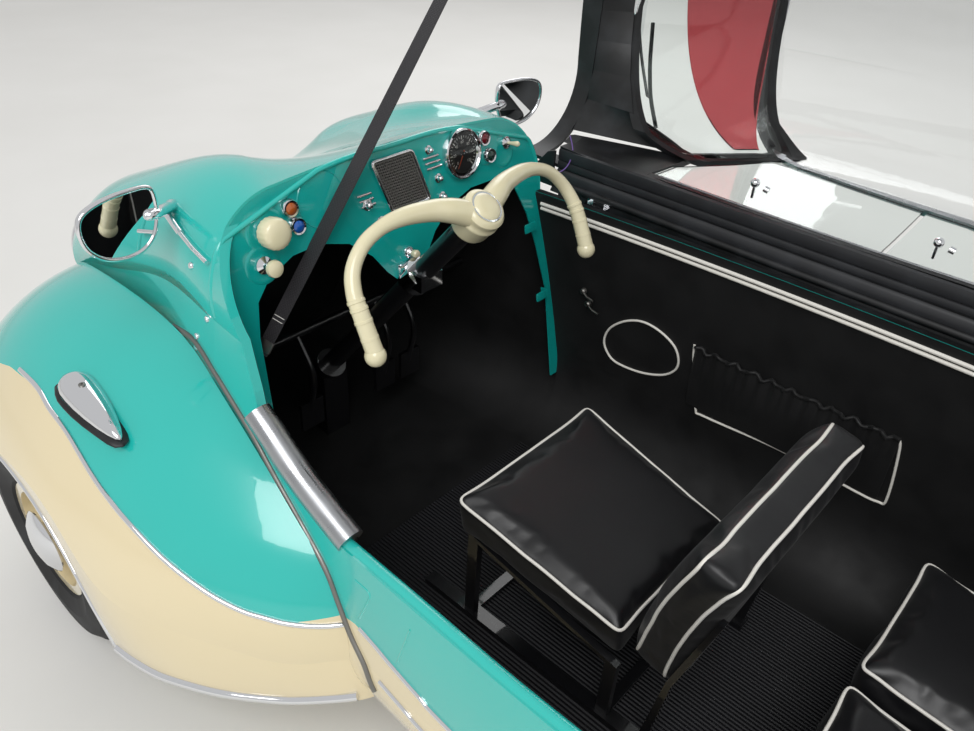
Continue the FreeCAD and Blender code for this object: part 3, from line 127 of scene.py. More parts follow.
# A Mix node of colours takes them on these two sockets and gives the mix on this output
TONE_A, TONE_B, MIXED = 6, 7, 2
# Where turquoise meets cream: y and z from the nose to the tail
TRIM_LINE = [(-430, 400), (-318, 428), (-220, 478), (-120, 520), (-30, 543), (56, 548), (108, 538),
             (167, 526), (245, 497), (297, 478), (343, 459), (385, 439), (428, 421), (471, 404), (509, 393),
             (561, 385), (640, 402), (710, 391), (815, 372), (1100, 352), (1490, 342), (1565, 336),
             (2390, 329)]
BODY_FRONT, BODY_REAR = TRIM_LINE[0][0], TRIM_LINE[-1][0]
# The floor mat's ribs and the headlamp glass's flutes, in metres
RIB_PITCH, FLUTE_PITCH = 0.007, 0.009


def body_enamel():
    """Sprayed two pack enamel: turquoise over cream, glossy with a faint orange peel."""
    paint, shader = finish("body_enamel", TEAL, 0.2, Coat_Weight=1.0, Coat_Roughness=0.03)
    where = add(paint, "TexCoord").outputs["Object"]
    axes = add(paint, "SeparateXYZ", links={"Vector": where})
    share = add(paint, "MapRange", {"From Min": BODY_FRONT * MM, "From Max": BODY_REAR * MM},
                {"Value": axes.outputs["Y"]})
    # The curve gives the height of the colours' edge for each place along the body
    edge = add(paint, "FloatCurve", links={"Value": share.outputs["Result"]})
    line = edge.mapping.curves[0]
    spots = [((y - BODY_FRONT) / (BODY_REAR - BODY_FRONT), z * MM) for y, z in TRIM_LINE]
    line.points[0].location, line.points[1].location = spots[0], spots[-1]
    for spot in spots[1:-1]:
        line.points.new(*spot)
    for point in line.points:
        point.handle_type = "VECTOR"
    edge.mapping.update()
    above = add(paint, "Math", links={0: axes.outputs["Z"], 1: edge.outputs["Value"]},
                operation="GREATER_THAN")
    drift = add(paint, "TexNoise", {"Scale": 3.0, "Detail": 2.0}, {"Vector": where})
    teal = add(paint, "Mix", {TONE_A: linear(TEAL), TONE_B: linear(TEAL_LIGHT)}, {0: drift.outputs["Fac"]},
               data_type="RGBA")
    cream = add(paint, "Mix", {TONE_A: linear(CREAM), TONE_B: linear(CREAM_LIGHT)}, {0: drift.outputs["Fac"]},
                data_type="RGBA")
    both = add(paint, "Mix", data_type="RGBA",
               links={0: above.outputs[0], TONE_A: cream.outputs[MIXED], TONE_B: teal.outputs[MIXED]})
    join(paint, both.outputs[MIXED], shader, "Base Color")
    peel = add(paint, "TexNoise", {"Scale": 260.0, "Detail": 1.0}, {"Vector": where})
    bump = add(paint, "Bump", {"Strength": 0.05, "Distance": 0.0004}, {"Height": peel.outputs["Fac"]})
    join(paint, bump.outputs["Normal"], shader, "Normal")
    return paint


def plain_enamel(name, dark, light, roughness=0.22):
    """Enamel of one colour, drifting a little in tone from panel to panel."""
    paint, shader = finish(name, dark, roughness, Coat_Weight=1.0, Coat_Roughness=0.04)
    where = add(paint, "TexCoord").outputs["Object"]
    drift = add(paint, "TexNoise", {"Scale": 4.0, "Detail": 3.0}, {"Vector": where})
    tone = add(paint, "Mix", {TONE_A: linear(dark), TONE_B: linear(light)}, {0: drift.outputs["Fac"]},
               data_type="RGBA")
    join(paint, tone.outputs[MIXED], shader, "Base Color")
    peel = add(paint, "TexNoise", {"Scale": 300.0, "Detail": 1.0}, {"Vector": where})
    bump = add(paint, "Bump", {"Strength": 0.05, "Distance": 0.0004}, {"Height": peel.outputs["Fac"]})
    join(paint, bump.outputs["Normal"], shader, "Normal")
    return paint


def bright_metal(name, colour, low, high, scratch):
    """Plated or polished metal: its gloss clouded here and there, with fine rubbing marks."""
    metal, shader = finish(name, colour, low, Metallic=1.0)
    where = add(metal, "TexCoord").outputs["Object"]
    cloud = add(metal, "TexNoise", {"Scale": 28.0, "Detail": 5.0}, {"Vector": where})
    gloss = add(metal, "MapRange", {"From Min": 0.35, "From Max": 0.7, "To Min": low, "To Max": high},
                {"Value": cloud.outputs["Fac"]})
    join(metal, gloss.outputs["Result"], shader, "Roughness")
    drawn_out = add(metal, "Mapping", {"Scale": (900.0, 60.0, 900.0)}, {"Vector": where})
    marks = add(metal, "TexNoise", {"Scale": 1.0, "Detail": 2.0}, {"Vector": drawn_out.outputs["Vector"]})
    bump = add(metal, "Bump", {"Strength": scratch, "Distance": 0.0002}, {"Height": marks.outputs["Fac"]})
    join(metal, bump.outputs["Normal"], shader, "Normal")
    return metal


def grained_vinyl(name, colour, roughness, grain):
    """Embossed leathercloth: small closed cells, satin, a little shinier on the high spots."""
    cloth, shader = finish(name, colour, roughness, Sheen_Weight=0.06)
    where = add(cloth, "TexCoord").outputs["Object"]
    cells = add(cloth, "TexVoronoi", {"Scale": 620.0}, {"Vector": where}, feature="DISTANCE_TO_EDGE")
    wave = add(cloth, "TexNoise", {"Scale": 14.0, "Detail": 4.0}, {"Vector": where})
    gloss = add(cloth, "MapRange",
                {"From Min": 0.3, "From Max": 0.7, "To Min": roughness - 0.08, "To Max": roughness + 0.1},
                {"Value": wave.outputs["Fac"]})
    join(cloth, gloss.outputs["Result"], shader, "Roughness")
    first = add(cloth, "Bump", {"Strength": grain, "Distance": 0.0004}, {"Height": cells.outputs["Distance"]})
    second = add(cloth, "Bump", {"Strength": 0.25, "Distance": 0.004},
                 {"Height": wave.outputs["Fac"], "Normal": first.outputs["Normal"]})
    join(cloth, second.outputs["Normal"], shader, "Normal")
    return cloth


def black_sealing(name, colour, roughness):
    """Extruded rubber: matt black with chalky bloom and small pits."""
    rubber, shader = finish(name, colour, roughness)
    where = add(rubber, "TexCoord").outputs["Object"]
    bloom = add(rubber, "TexNoise", {"Scale": 20.0, "Detail": 6.0}, {"Vector": where})
    step = add(rubber, "MapRange", {"From Min": 0.45, "From Max": 0.8, "To Max": 0.55},
               {"Value": bloom.outputs["Fac"]})
    tone = add(rubber, "Mix", {TONE_A: linear(colour), TONE_B: linear("#34363A")},
               {0: step.outputs["Result"]}, data_type="RGBA")
    join(rubber, tone.outputs[MIXED], shader, "Base Color")
    pits = add(rubber, "TexNoise", {"Scale": 500.0, "Detail": 2.0}, {"Vector": where})
    bump = add(rubber, "Bump", {"Strength": 0.2, "Distance": 0.0003}, {"Height": pits.outputs["Fac"]})
    join(rubber, bump.outputs["Normal"], shader, "Normal")
    return rubber


def clear_sheet(name, colour, roughness, ior, smear):
    """A clear pane, its faces rippled very slightly and wiped in streaks."""
    pane, shader = finish(name, colour, roughness, Transmission_Weight=1.0, IOR=ior)
    where = add(pane, "TexCoord").outputs["Object"]
    ripple = add(pane, "TexNoise", {"Scale": 7.0, "Detail": 2.0}, {"Vector": where})
    bump = add(pane, "Bump", {"Strength": smear, "Distance": 0.002}, {"Height": ripple.outputs["Fac"]})
    join(pane, bump.outputs["Normal"], shader, "Normal")
    streaks = add(pane, "Mapping", {"Scale": (3.0, 40.0, 3.0)}, {"Vector": where})
    wiped = add(pane, "TexNoise", {"Scale": 1.0, "Detail": 4.0}, {"Vector": streaks.outputs["Vector"]})
    haze = add(pane, "MapRange",
               {"From Min": 0.55, "From Max": 0.8, "To Min": roughness, "To Max": roughness + 0.07},
               {"Value": wiped.outputs["Fac"]})
    join(pane, haze.outputs["Result"], shader, "Roughness")
    return pane


def moulded(name, colour, roughness, light, **sockets):
    """Moulded or cast plastic: soft clouding of tone and a faint pebble."""
    plastic, shader = finish(name, colour, roughness, **sockets)
    where = add(plastic, "TexCoord").outputs["Object"]
    cloud = add(plastic, "TexNoise", {"Scale": 30.0, "Detail": 4.0}, {"Vector": where})
    tone = add(plastic, "Mix", {TONE_A: linear(colour), TONE_B: linear(light)}, {0: cloud.outputs["Fac"]},
               data_type="RGBA")
    join(plastic, tone.outputs[MIXED], shader, "Base Color")
    bump = add(plastic, "Bump", {"Strength": 0.06, "Distance": 0.001}, {"Height": cloud.outputs["Fac"]})
    join(plastic, bump.outputs["Normal"], shader, "Normal")
    return plastic


def ribbed_mat():
    """Moulded rubber floor mat: ribs along the car 7 mm apart, dusty in patches."""
    mat, shader = finish("ribbed_mat", "#0D0D10", 0.6)
    where = add(mat, "TexCoord").outputs["Object"]
    axes = add(mat, "SeparateXYZ", links={"Vector": where})
    turns = add(mat, "Math", {1: 2 * math.pi / RIB_PITCH}, {0: axes.outputs["X"]}, operation="MULTIPLY")
    ribs = add(mat, "Math", links={0: turns.outputs[0]}, operation="SINE")
    dust = add(mat, "TexNoise", {"Scale": 9.0, "Detail": 5.0}, {"Vector": where})
    tone = add(mat, "Mix", {TONE_A: linear("#08080A"), TONE_B: linear("#1D1D22")}, {0: dust.outputs["Fac"]},
               data_type="RGBA")
    join(mat, tone.outputs[MIXED], shader, "Base Color")
    bump = add(mat, "Bump", {"Strength": 0.6, "Distance": 0.0016}, {"Height": ribs.outputs[0]})
    join(mat, bump.outputs["Normal"], shader, "Normal")
    return mat


def woven_webbing():
    """Nylon webbing: a dark brown black weave with a soft sheen."""
    web, shader = finish("nylon_webbing", "#16141A", 0.6, Sheen_Weight=0.3)
    where = add(web, "TexCoord").outputs["UV"]
    # The weave is drawn at 3 mm, coarser than the real one, so that it shows
    grid = add(web, "Mapping", {"Scale": (9.0, 380.0, 1.0)}, {"Vector": where})
    weave = add(web, "TexChecker", {"Scale": 1.0, "Color1": linear("#1F1B22"), "Color2": linear("#0D0C0F")},
                {"Vector": grid.outputs["Vector"]})
    join(web, weave.outputs["Color"], shader, "Base Color")
    bump = add(web, "Bump", {"Strength": 0.5, "Distance": 0.0006}, {"Height": weave.outputs["Fac"]})
    join(web, bump.outputs["Normal"], shader, "Normal")
    return web


def fluted_lens():
    """Pressed headlamp glass, with upright flutes 9 mm apart."""
    lens, shader = finish("fluted_lens", "#F4F7F8", 0.03, Transmission_Weight=1.0, IOR=1.52)
    where = add(lens, "TexCoord").outputs["Object"]
    axes = add(lens, "SeparateXYZ", links={"Vector": where})
    turns = add(lens, "Math", {1: 2 * math.pi / FLUTE_PITCH}, {0: axes.outputs["X"]}, operation="MULTIPLY")
    flutes = add(lens, "Math", links={0: turns.outputs[0]}, operation="SINE")
    bump = add(lens, "Bump", {"Strength": 0.5, "Distance": 0.001}, {"Height": flutes.outputs[0]})
    join(lens, bump.outputs["Normal"], shader, "Normal")
    return lens


enamel = body_enamel()
# The dash is the body's turquoise paint; this darker copy of it is painted shade, for the shade under the cowl
shaded_dash_teal = plain_enamel("shaded_dash_teal", "#08A39C", "#11B1AA")
teal_enamel = plain_enamel("teal_enamel", TEAL, TEAL_LIGHT)
cream_enamel = plain_enamel("cream_enamel", CREAM, CREAM_LIGHT)
black_enamel = plain_enamel("black_enamel", "#0B0B0D", "#141417", 0.35)
chrome = bright_metal("chromed_steel", "#E6E7EA", 0.03, 0.1, 0.03)
aluminium = bright_metal("polished_aluminium", "#AEB0B3", 0.2, 0.4, 0.2)
cast_alloy = bright_metal("sand_cast_alloy", "#8D8E90", 0.5, 0.75, 0.6)
plain_steel = bright_metal("plain_steel", "#8A8884", 0.35, 0.6, 0.3)
mirror_glass = bright_metal("silvered_glass", "#F1F3F4", 0.0, 0.012, 0.0)
rubber = black_sealing("sealing_rubber", "#0B0C0E", 0.48)
rail_rubber = black_sealing("rail_rubber", "#26272A", 0.42)
tyre_rubber = black_sealing("tyre_rubber", "#111113", 0.7)
acrylic = clear_sheet("clear_acrylic", "#FBFDFD", 0.01, 1.49, 0.14)
safety_glass = clear_sheet("safety_glass", "#F3F9F7", 0.0, 1.52, 0.05)
red_acrylic = clear_sheet("red_acrylic", "#C4565C", 0.05, 1.49, 0.12)
ivory = moulded("ivory_plastic", "#E2D9B2", 0.24, "#EBE3C2", Coat_Weight=0.5, Coat_Roughness=0.1)
seat_vinyl = grained_vinyl("seat_vinyl", "#0C0C0F", 0.4, 0.3)
trim_vinyl = grained_vinyl("lining_vinyl", "#060607", 0.62, 0.3)
white_vinyl = moulded("white_vinyl", "#E9E5DC", 0.4, "#F2EFE8")
mat_rubber = ribbed_mat()
webbing = woven_webbing()
headlamp_glass = fluted_lens()
red_lens = moulded("red_lens", "#B0141A", 0.12, "#C9242A", Coat_Weight=1.0)
amber_lens = moulded("amber_lens", "#A8501C", 0.12, "#C26A2C", Coat_Weight=1.0)
blue_lens = moulded("blue_lens", "#0A4FA8", 0.12, "#1766C4", Coat_Weight=1.0)
green_lens = moulded("green_lens", "#0C2622", 0.12, "#16382F", Coat_Weight=1.0)
ruby_lens = moulded("ruby_lens", "#5A0B18", 0.12, "#7A1424", Coat_Weight=1.0)
dial_black = moulded("dial_black", "#0B0B0C", 0.4, "#121214")
dial_white = moulded("dial_white", "#E8E6DF", 0.5, "#F0EEE8")
needle_orange = moulded("needle_orange", "#D9502A", 0.4, "#E36234")

SLOT_FINISHES = {
    "body_paint": enamel, "cream_paint": cream_enamel, "dark_paint": mat_rubber, "chrome_trim": chrome,
    "polished_frame": aluminium, "black_rubber": rubber, "clear_dome": acrylic, "window_glass": safety_glass,
    "red_visor": red_acrylic, "black_steel": black_enamel, "ivory_plastic": ivory, "seat_vinyl": seat_vinyl,
    "trim_vinyl": trim_vinyl, "lamp_glass": headlamp_glass, "red_lens": red_lens, "rim_paint": cream_enamel,
    "tyre_rubber": tyre_rubber, "engine_alloy": cast_alloy, "silencer_steel": plain_steel, "webbing": webbing,
}
slot_of = {part["node"]: part["material_slot"] for part in frame["record"]["subparts"]}
for name, solid in nodes.items():
    solid.data.materials.clear()
    solid.data.materials.append(SLOT_FINISHES[slot_of[name]])
# The dash panel takes the darker turquoise: painted shade under the cowl
nodes["dash_panel"].data.materials[0] = shaded_dash_teal


# Makers for new pieces, in millimetres

# Faces that meet at less than this angle are shaded as one
SMOOTH_ANGLE = math.radians(38)
# Points nearer than this, in metres, are merged
TURNED_MERGE, DRAWN_MERGE = 0.00004, 0.00002


def alone():
    bpy.ops.object.select_all(action="DESELECT")


def pick(piece):
    """Select one piece alone and make it the active one."""
    alone()
    piece.select_set(True)
    bpy.context.view_layer.objects.active = piece


def settle(piece, name, material, place=None):
    """Put a piece's place into its mesh, name it and dress it."""
    piece.name = name
    piece.data.name = name
    if place is not None:
        piece.matrix_world = place @ piece.matrix_world
    pick(piece)
    bpy.ops.object.transform_apply(location=True, rotation=True, scale=True)
    piece.data.materials.clear()
    piece.data.materials.append(material)
    bpy.ops.object.shade_smooth_by_angle(angle=SMOOTH_ANGLE)
    return piece


def close_up(merge=None):
    """End the work in edit mode: merge what lies together and turn every face outwards."""
    bpy.ops.mesh.select_all(action="SELECT")
    if merge:
        bpy.ops.mesh.remove_doubles(threshold=merge)
    bpy.ops.mesh.normals_make_consistent(inside=False)
    bpy.ops.object.mode_set(mode="OBJECT")


def worked(piece, kind, **settings):
    """Finish a piece with one modifier and apply it."""
    pick(piece)
    tool = piece.modifiers.new(kind.lower(), kind)
    for name, value in settings.items():
        setattr(tool, name, value)
    bpy.ops.object.modifier_apply(modifier=tool.name)
    return piece


def sheet_of(name, corners, faces):
    """A new piece from corners in millimetres and faces, still without a finish."""
    mesh = bpy.data.meshes.new(name)
    mesh.from_pydata([tuple(Vector(corner) * MM) for corner in corners], [], faces)
    piece = bpy.data.objects.new(name, mesh)
    bpy.context.scene.collection.objects.link(piece)
    return piece


def turned(name, rings, material, place=None, sides=32):
    """A piece turned on a lathe: a ring drawn out step by step, from (radius, height)."""
    first_radius, first_height = rings[0]
    alone()
    bpy.ops.mesh.primitive_circle_add(vertices=sides, radius=first_radius * MM, location=(0, 0, first_height * MM))
    piece = bpy.context.object
    bpy.ops.object.transform_apply(location=True)
    bpy.ops.object.mode_set(mode="EDIT")
    bpy.ops.mesh.select_all(action="SELECT")
    for (radius, height), (next_radius, next_height) in zip(rings, rings[1:]):
        rise = (next_height - height) * MM
        bpy.ops.mesh.extrude_region_move(TRANSFORM_OT_translate={"value": (0, 0, rise)})
        share = next_radius / radius
        bpy.ops.transform.resize(value=(share, share, 1), center_override=(0, 0, next_height * MM))
    close_up(TURNED_MERGE)
    return settle(piece, name, material, place)


def ball(name, centre, radius, material, segments, rings):
    """A round grip or ball end."""
    alone()
    bpy.ops.mesh.primitive_uv_sphere_add(segments=segments, ring_count=rings, radius=radius * MM,
                                         location=[c * MM for c in centre])
    return settle(bpy.context.object, name, material)


def drawn(name, points, radius, material, radii=None, closed=False, round_steps=3):
    """A rod drawn through points, each with its own share of the radius."""
    data = bpy.data.curves.new(name, "CURVE")
    data.dimensions = "3D"
    data.bevel_depth = radius * MM
    data.bevel_resolution = round_steps
    data.use_fill_caps = not closed
    line = data.splines.new("POLY")
    line.points.add(len(points) - 1)
    for i, point in enumerate(points):
        line.points[i].co = (point[0] * MM, point[1] * MM, point[2] * MM, 1)
        line.points[i].radius = radii[i] if radii else 1.0
    line.use_cyclic_u = closed
    piece = bpy.data.objects.new(name, data)
    bpy.context.scene.collection.objects.link(piece)
    pick(piece)
    bpy.ops.object.convert(target="MESH")
    piece = bpy.context.object
    bpy.ops.object.mode_set(mode="EDIT")
    close_up(DRAWN_MERGE)
    return settle(piece, name, material)


def plate(name, corners, thick, material, place=None, soften=0.0, steps=2):
    """A flat piece cut to an outline and given a thickness, its edges eased."""
    alone()
    bpy.ops.mesh.primitive_circle_add(vertices=len(corners), radius=MM, fill_type="NGON")
    piece = bpy.context.object
    for vertex, corner in zip(piece.data.vertices, corners):
        vertex.co = (corner[0] * MM, corner[1] * MM, 0)
    bpy.ops.object.mode_set(mode="EDIT")
    bpy.ops.mesh.select_all(action="SELECT")
    bpy.ops.mesh.extrude_region_move(TRANSFORM_OT_translate={"value": (0, 0, thick * MM)})
    close_up()
    if soften:
        worked(piece, "BEVEL", width=soften * MM, segments=steps, limit_method="ANGLE")
    return settle(piece, name, material, place)


def oblong(half_wide, half_tall, round_off=0):
    """The outline of a flat oblong about its middle, its corners rounded off where asked."""
    corners = [(-half_wide, -half_tall, 0), (half_wide, -half_tall, 0), (half_wide, half_tall, 0),
               (-half_wide, half_tall, 0)]
    return eased(corners, round_off) if round_off else corners


def joined(pieces, name):
    """Several pieces as one, each keeping its own finish."""
    alone()
    for piece in pieces:
        piece.select_set(True)
    bpy.context.view_layer.objects.active = pieces[0]
    bpy.ops.object.join()
    pieces[0].name = name
    pieces[0].data.name = name
    return pieces[0]


def mirrored(piece, name):
    """A copy on the other side of the car, its faces turned the right way out."""
    twin = piece.copy()
    twin.data = piece.data.copy()
    bpy.context.scene.collection.objects.link(twin)
    twin.data.transform(Matrix.Scale(-1, 4, (1, 0, 0)))
    twin.data.flip_normals()
    twin.name = name
    twin.data.name = name
    return twin


def eased(corners, radius, steps=6, closed=True):
    """A line through corners, each one rounded off."""
    spots = [Vector(c) for c in corners]
    count = len(spots)
    out = []
    for i, corner in enumerate(spots):
        if not closed and i in (0, count - 1):
            out.append(corner)
            continue
        back, ahead = spots[i - 1] - corner, spots[(i + 1) % count] - corner
        start = corner + back.normalized() * min(radius, back.length * 0.48)
        end = corner + ahead.normalized() * min(radius, ahead.length * 0.48)
        for k in range(steps + 1):
            t = k / steps
            out.append(start * (1 - t) ** 2 + corner * 2 * t * (1 - t) + end * t ** 2)
    return out


def flowing(points, per=6, closed=False):
    """A smooth line through a few points."""
    spots = [Vector(p) for p in points]
    count = len(spots)
    out = []
    for i in range(count if closed else count - 1):
        if closed:
            a, b, c, d = (spots[(i + k) % count] for k in (-1, 0, 1, 2))
        else:
            a, b, c, d = (spots[min(max(i + k, 0), count - 1)] for k in (-1, 0, 1, 2))
        for k in range(per):
            t = k / per
            out.append(0.5 * ((2 * b) + (c - a) * t + (2 * a - 5 * b + 4 * c - d) * t ** 2
                              + (3 * b - a - 3 * c + d) * t ** 3))
    if not closed:
        out.append(spots[-1])
    return out


def surface_of(*pieces):
    """The faces of some pieces, for laying trim on them."""
    corners, faces = [], []
    for piece in pieces:
        base = len(corners)
        corners += [v.co.copy() for v in piece.data.vertices]
        faces += [[base + i for i in polygon.vertices] for polygon in piece.data.polygons]
    return BVHTree.FromPolygons(corners, faces)


def spaced(spots, step, closed=False):
    """Points every few millimetres along a line."""
    dense = []
    for a, b in zip(spots, spots[1:] + spots[:1] if closed else spots[1:]):
        count = max(1, round((b - a).length / step))
        dense += [a.lerp(b, k / count) for k in range(count)]
    return dense if closed else dense + [spots[-1]]


def laid(points, surface, out, lift=0.0, step=8.0, closed=False):
    """Points carried onto a surface against the way out of it, one every few millimetres."""
    way = Vector(out).normalized()
    carried = []
    for spot in spaced([Vector(p) for p in points], step, closed):
        hit = surface.ray_cast(spot * MM + way * 0.09, -way, 0.2)
        if hit[0] is not None:
            carried.append(hit[0] / MM + way * lift)
    return carried


def hugging(points, surface, lift=0.0):
    """A smooth line pressed onto the nearest faces of a surface."""
    line = []
    for spot in flowing(points):
        near = surface.find_nearest(spot * MM)
        line.append(near[0] / MM + near[1] * lift)
    return line


def lining(name, node, inward, lift, material):
    """A thin skin over the faces of a solid that look into the cabin."""
    piece = nodes[node].copy()
    piece.data = nodes[node].data.copy()
    for key in list(piece.keys()):
        del piece[key]
    piece.parent = None
    bpy.context.scene.collection.objects.link(piece)
    sheet = bmesh.new()
    sheet.from_mesh(piece.data)
    bmesh.ops.remove_doubles(sheet, verts=sheet.verts, dist=0.00002)
    sheet.normal_update()
    away = [face for face in sheet.faces if not inward(face.calc_center_median() / MM, face.normal)]
    bmesh.ops.delete(sheet, geom=away, context="FACES")
    sheet.normal_update()
    for vertex in sheet.verts:
        vertex.co += vertex.normal * lift * MM
    sheet.to_mesh(piece.data)
    sheet.free()
    if piece.data.attributes.get("custom_normal"):
        piece.data.attributes.remove(piece.data.attributes["custom_normal"])
    return settle(piece, name, material)


def carried_by(body, slot, *pieces):
    for piece in pieces:
        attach(piece, body)


def on_both_sides(slot, *pieces):
    """Hang trim on the left of the body, with its copy on the right."""
    for piece in pieces:
        carried_by("chassis", slot, piece)
        carried_by("chassis", slot, mirrored(piece, piece.name + "_right"))


def in_mm(corners):
    """The two corners of a node's box, in millimetres."""
    return [corner / MM for corner in corners]


# Body trim

def dress_fender():
    """Bright beads round the left fender, laid on its own sheet metal, and their copies on the right."""
    sheet = surface_of(nodes["fender_left"])
    colour_line = [(466, -214, 480), (508, -118, 521), (528, -30, 543), (534, 56, 548), (540, 108, 538),
                   (543, 167, 526), (550, 245, 497), (551, 297, 478), (547, 343, 459), (540, 385, 439),
                   (530, 428, 421), (515, 471, 404), (498, 509, 393), (482, 537, 389), (466, 561, 385),
                   (436, 595, 382), (408, 624, 384)]
    bead = drawn("fender_colour_bead", hugging(colour_line, sheet, 0.5), 4.2, chrome)
    foot_line = flowing([(604, 303, 219), (598, 343, 222), (585, 393, 224), (564, 440, 226), (541, 481, 226),
                         (515, 518, 226), (479, 565, 229), (441, 611, 240), (415, 641, 250)])
    foot = drawn("fender_foot_strip", foot_line, 7.5, chrome)
    arch_y, arch_z, arch_radius, beyond = 5, 130, 301, 640
    lip = []
    for k in range(25):
        angle = math.radians(166 - 150 * k / 24)
        lip.append((beyond, arch_y + arch_radius * math.cos(angle), arch_z + arch_radius * math.sin(angle)))
    arch = drawn("arch_lip_bead", laid(lip, sheet, (1, 0, 0), lift=-1), 4, chrome)
    on_both_sides("chrome_trim", bead, foot, arch)


def dress_seam():
    """The piping squeezed into the joint between fender and body."""
    body = surface_of(nodes["nose_shell"], nodes["left_wall"], nodes["fender_left"])
    line = [(340, 128, 612), (348, 161, 620), (352, 204, 628), (357, 239, 627), (366, 289, 612),
            (375, 347, 589), (382, 402, 565), (389, 453, 534), (397, 514, 497), (404, 574, 455),
            (408, 606, 411), (412, 632, 372), (414, 661, 340), (415, 681, 305)]
    on_both_sides("black_rubber", drawn("fender_seam_piping", hugging(line, body, 0.5), 4.6, plain_steel))


def dress_flank():
    """Two bright beads along the body side, with the cream between them, and the pressings in the panel."""
    body = surface_of(nodes["left_wall"], nodes["tail_cover"], nodes["tail_sides"], nodes["rear_deck"])
    upper = [(410, 649, 403), (411, 680, 398), (413, 710, 391), (415, 768, 380), (416, 815, 372),
             (416, 1100, 352), (400, 1490, 342)]
    lower = [(415, 692, 337), (417, 743, 328), (418, 772, 322), (418, 900, 306), (416, 1200, 298),
             (400, 1490, 296)]
    for name, line in (("flank_upper_bead", upper), ("flank_lower_bead", lower)):
        on_both_sides("chrome_trim", drawn(name, hugging(line, body, 0.5), 3.6, chrome))
    creases = ([(403, 636, 481), (404, 668, 482), (407, 659, 454), (409, 646, 419)],
               [(406, 741, 480), (410, 731, 435), (412, 723, 403)])
    pressed = [drawn("pressing", hugging(eased(crease, 12, closed=False), body, -0.6), 1.8, teal_enamel)
               for crease in creases]
    on_both_sides("body_paint", joined(pressed, "flank_pressings"))


def dress_sill():
    """The half round aluminium cover on the slope of the left sill."""
    path = flowing([(384, 420, 622), (384, 444, 606), (384, 500, 566), (384, 560, 536), (384, 606, 516)])
    cover = drawn("sill_slope_cover", path, 20, aluminium, round_steps=8)
    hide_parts("sill_cover")
    carried_by("chassis", "polished_frame", cover)
    sill_top = 512
    course = [(388, 604), (391, 760), (394, 900), (391, 1100), (387, 1200), (376, 1380), (362, 1492)]
    line = flowing([(x, y, sill_top) for x, y in course])
    roll = drawn("sill_rolled_edge", line, 9, teal_enamel, round_steps=6)
    carried_by("chassis", "body_paint", roll)


def dress_cowl():
    """The rolled rim of the cowl over the dash, its screws and the mirror's brace."""
    left_half = [(352, 289, 700), (349, 287, 745), (336, 282, 792), (309, 278, 822), (262, 275, 846),
                 (200, 272, 858), (100, 270, 866)]
    rim_top = [(-x, y, z) for x, y, z in left_half] + [(0, 270, 868)] + left_half[::-1]
    body = surface_of(nodes["nose_shell"])
    cowl_middle, sunk = 600, 2.5
    lines = []
    for x, y, z in flowing(rim_top):
        way = Vector((x, 0, z - cowl_middle)).normalized()
        hit = body.ray_cast(Vector((x, y, z)) * MM + way * 0.1, -way, 0.25)
        if hit[0] is not None:
            lines.append(hit[0] / MM - way * sunk)
    rim = drawn("cowl_rolled_rim", lines, 4.5, teal_enamel, round_steps=5)
    carried_by("chassis", "body_paint", rim)
    studs = []
    for i, (y, z) in enumerate([(239, 759), (262, 683), (229, 640), (228, 622)]):
        hit = body.ray_cast(Vector((0.5, y * MM, z * MM)), Vector((-1, 0, 0)), 0.4)
        if hit[0] is None:
            continue
        turn = hit[1].to_track_quat("Z", "Y").to_matrix().to_4x4()
        studs.append(turned(f"stud_{i}", [(5.2, 0), (5.0, 1.6), (3.6, 3.0), (0.02, 3.4)], chrome,
                            Matrix.Translation(hit[0]) @ turn, sides=14))
    brace = drawn("brace", [(322, 140, 806), (334, 168, 800), (346, 245, 787), (348, 281, 780)], 3.2, chrome)
    sleeve = drawn("sleeve", [(330, 158, 802), (339, 205, 793)], 5.2, chrome)
    carried_by("chassis", "chrome_trim", joined(studs + [brace, sleeve], "cowl_studs_and_brace"))


dress_fender()
dress_seam()
dress_flank()
dress_sill()
dress_cowl()


# Indicator lamps

def indicator_lamp():
    """A teardrop lamp: rubber gasket, painted plinth, plated cap with its screw."""
    outline = [(0.03, -36), (9, -35), (17, -31), (23, -22), (26, -8), (26, 8), (24.5, 30), (21, 55), (16, 80),
               (10, 102), (5, 114), (0.03, 120)]
    head, tail = -30, 100
    lean = Matrix.Rotation(math.radians(-2), 4, "Z") @ Matrix.Rotation(math.radians(-9), 4, "X")
    lie = Matrix.Rotation(math.radians(-90), 4, "X")
    at = Matrix.Translation((0.506, 0.150, 0.572)) @ lean

    def shaped(name, grow, tall, drop, material):
        """The teardrop grown all round, squashed to its height and let down by its drop."""
        rings = []
        for radius, y in outline:
            longer = grow if y > tail else -grow if y < head else 0
            rings.append((radius + (grow if radius > 1 else 0), y + longer))
        place = at @ Matrix.Translation((0, 0, -drop * MM)) @ Matrix.Diagonal((1, 1, tall, 1)) @ lie
        return turned(name, rings, material, place, sides=36)

    gasket = shaped("gasket", 5.5, 0.34, 6, rubber)
    plinth = shaped("plinth", 1.5, 0.95, 9, teal_enamel)
    cap = shaped("cap", 0, 0.86, -3, chrome)
    screw = turned("screw", [(5, 0), (5, 1.5), (3.8, 2.4), (1.6, 2.4), (1.4, 1.2), (0.02, 1.2)], plain_steel,
                   at @ Matrix.Translation((0, 0.012, 0.0243)), sides=18)
    return joined([cap, gasket, plinth, screw], "indicator_left")


lamp = indicator_lamp()
twin = mirrored(lamp, "indicator_right")
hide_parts("indicators")
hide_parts("indicators")
carried_by("chassis", "chrome_trim", lamp, twin)


# Headlamps

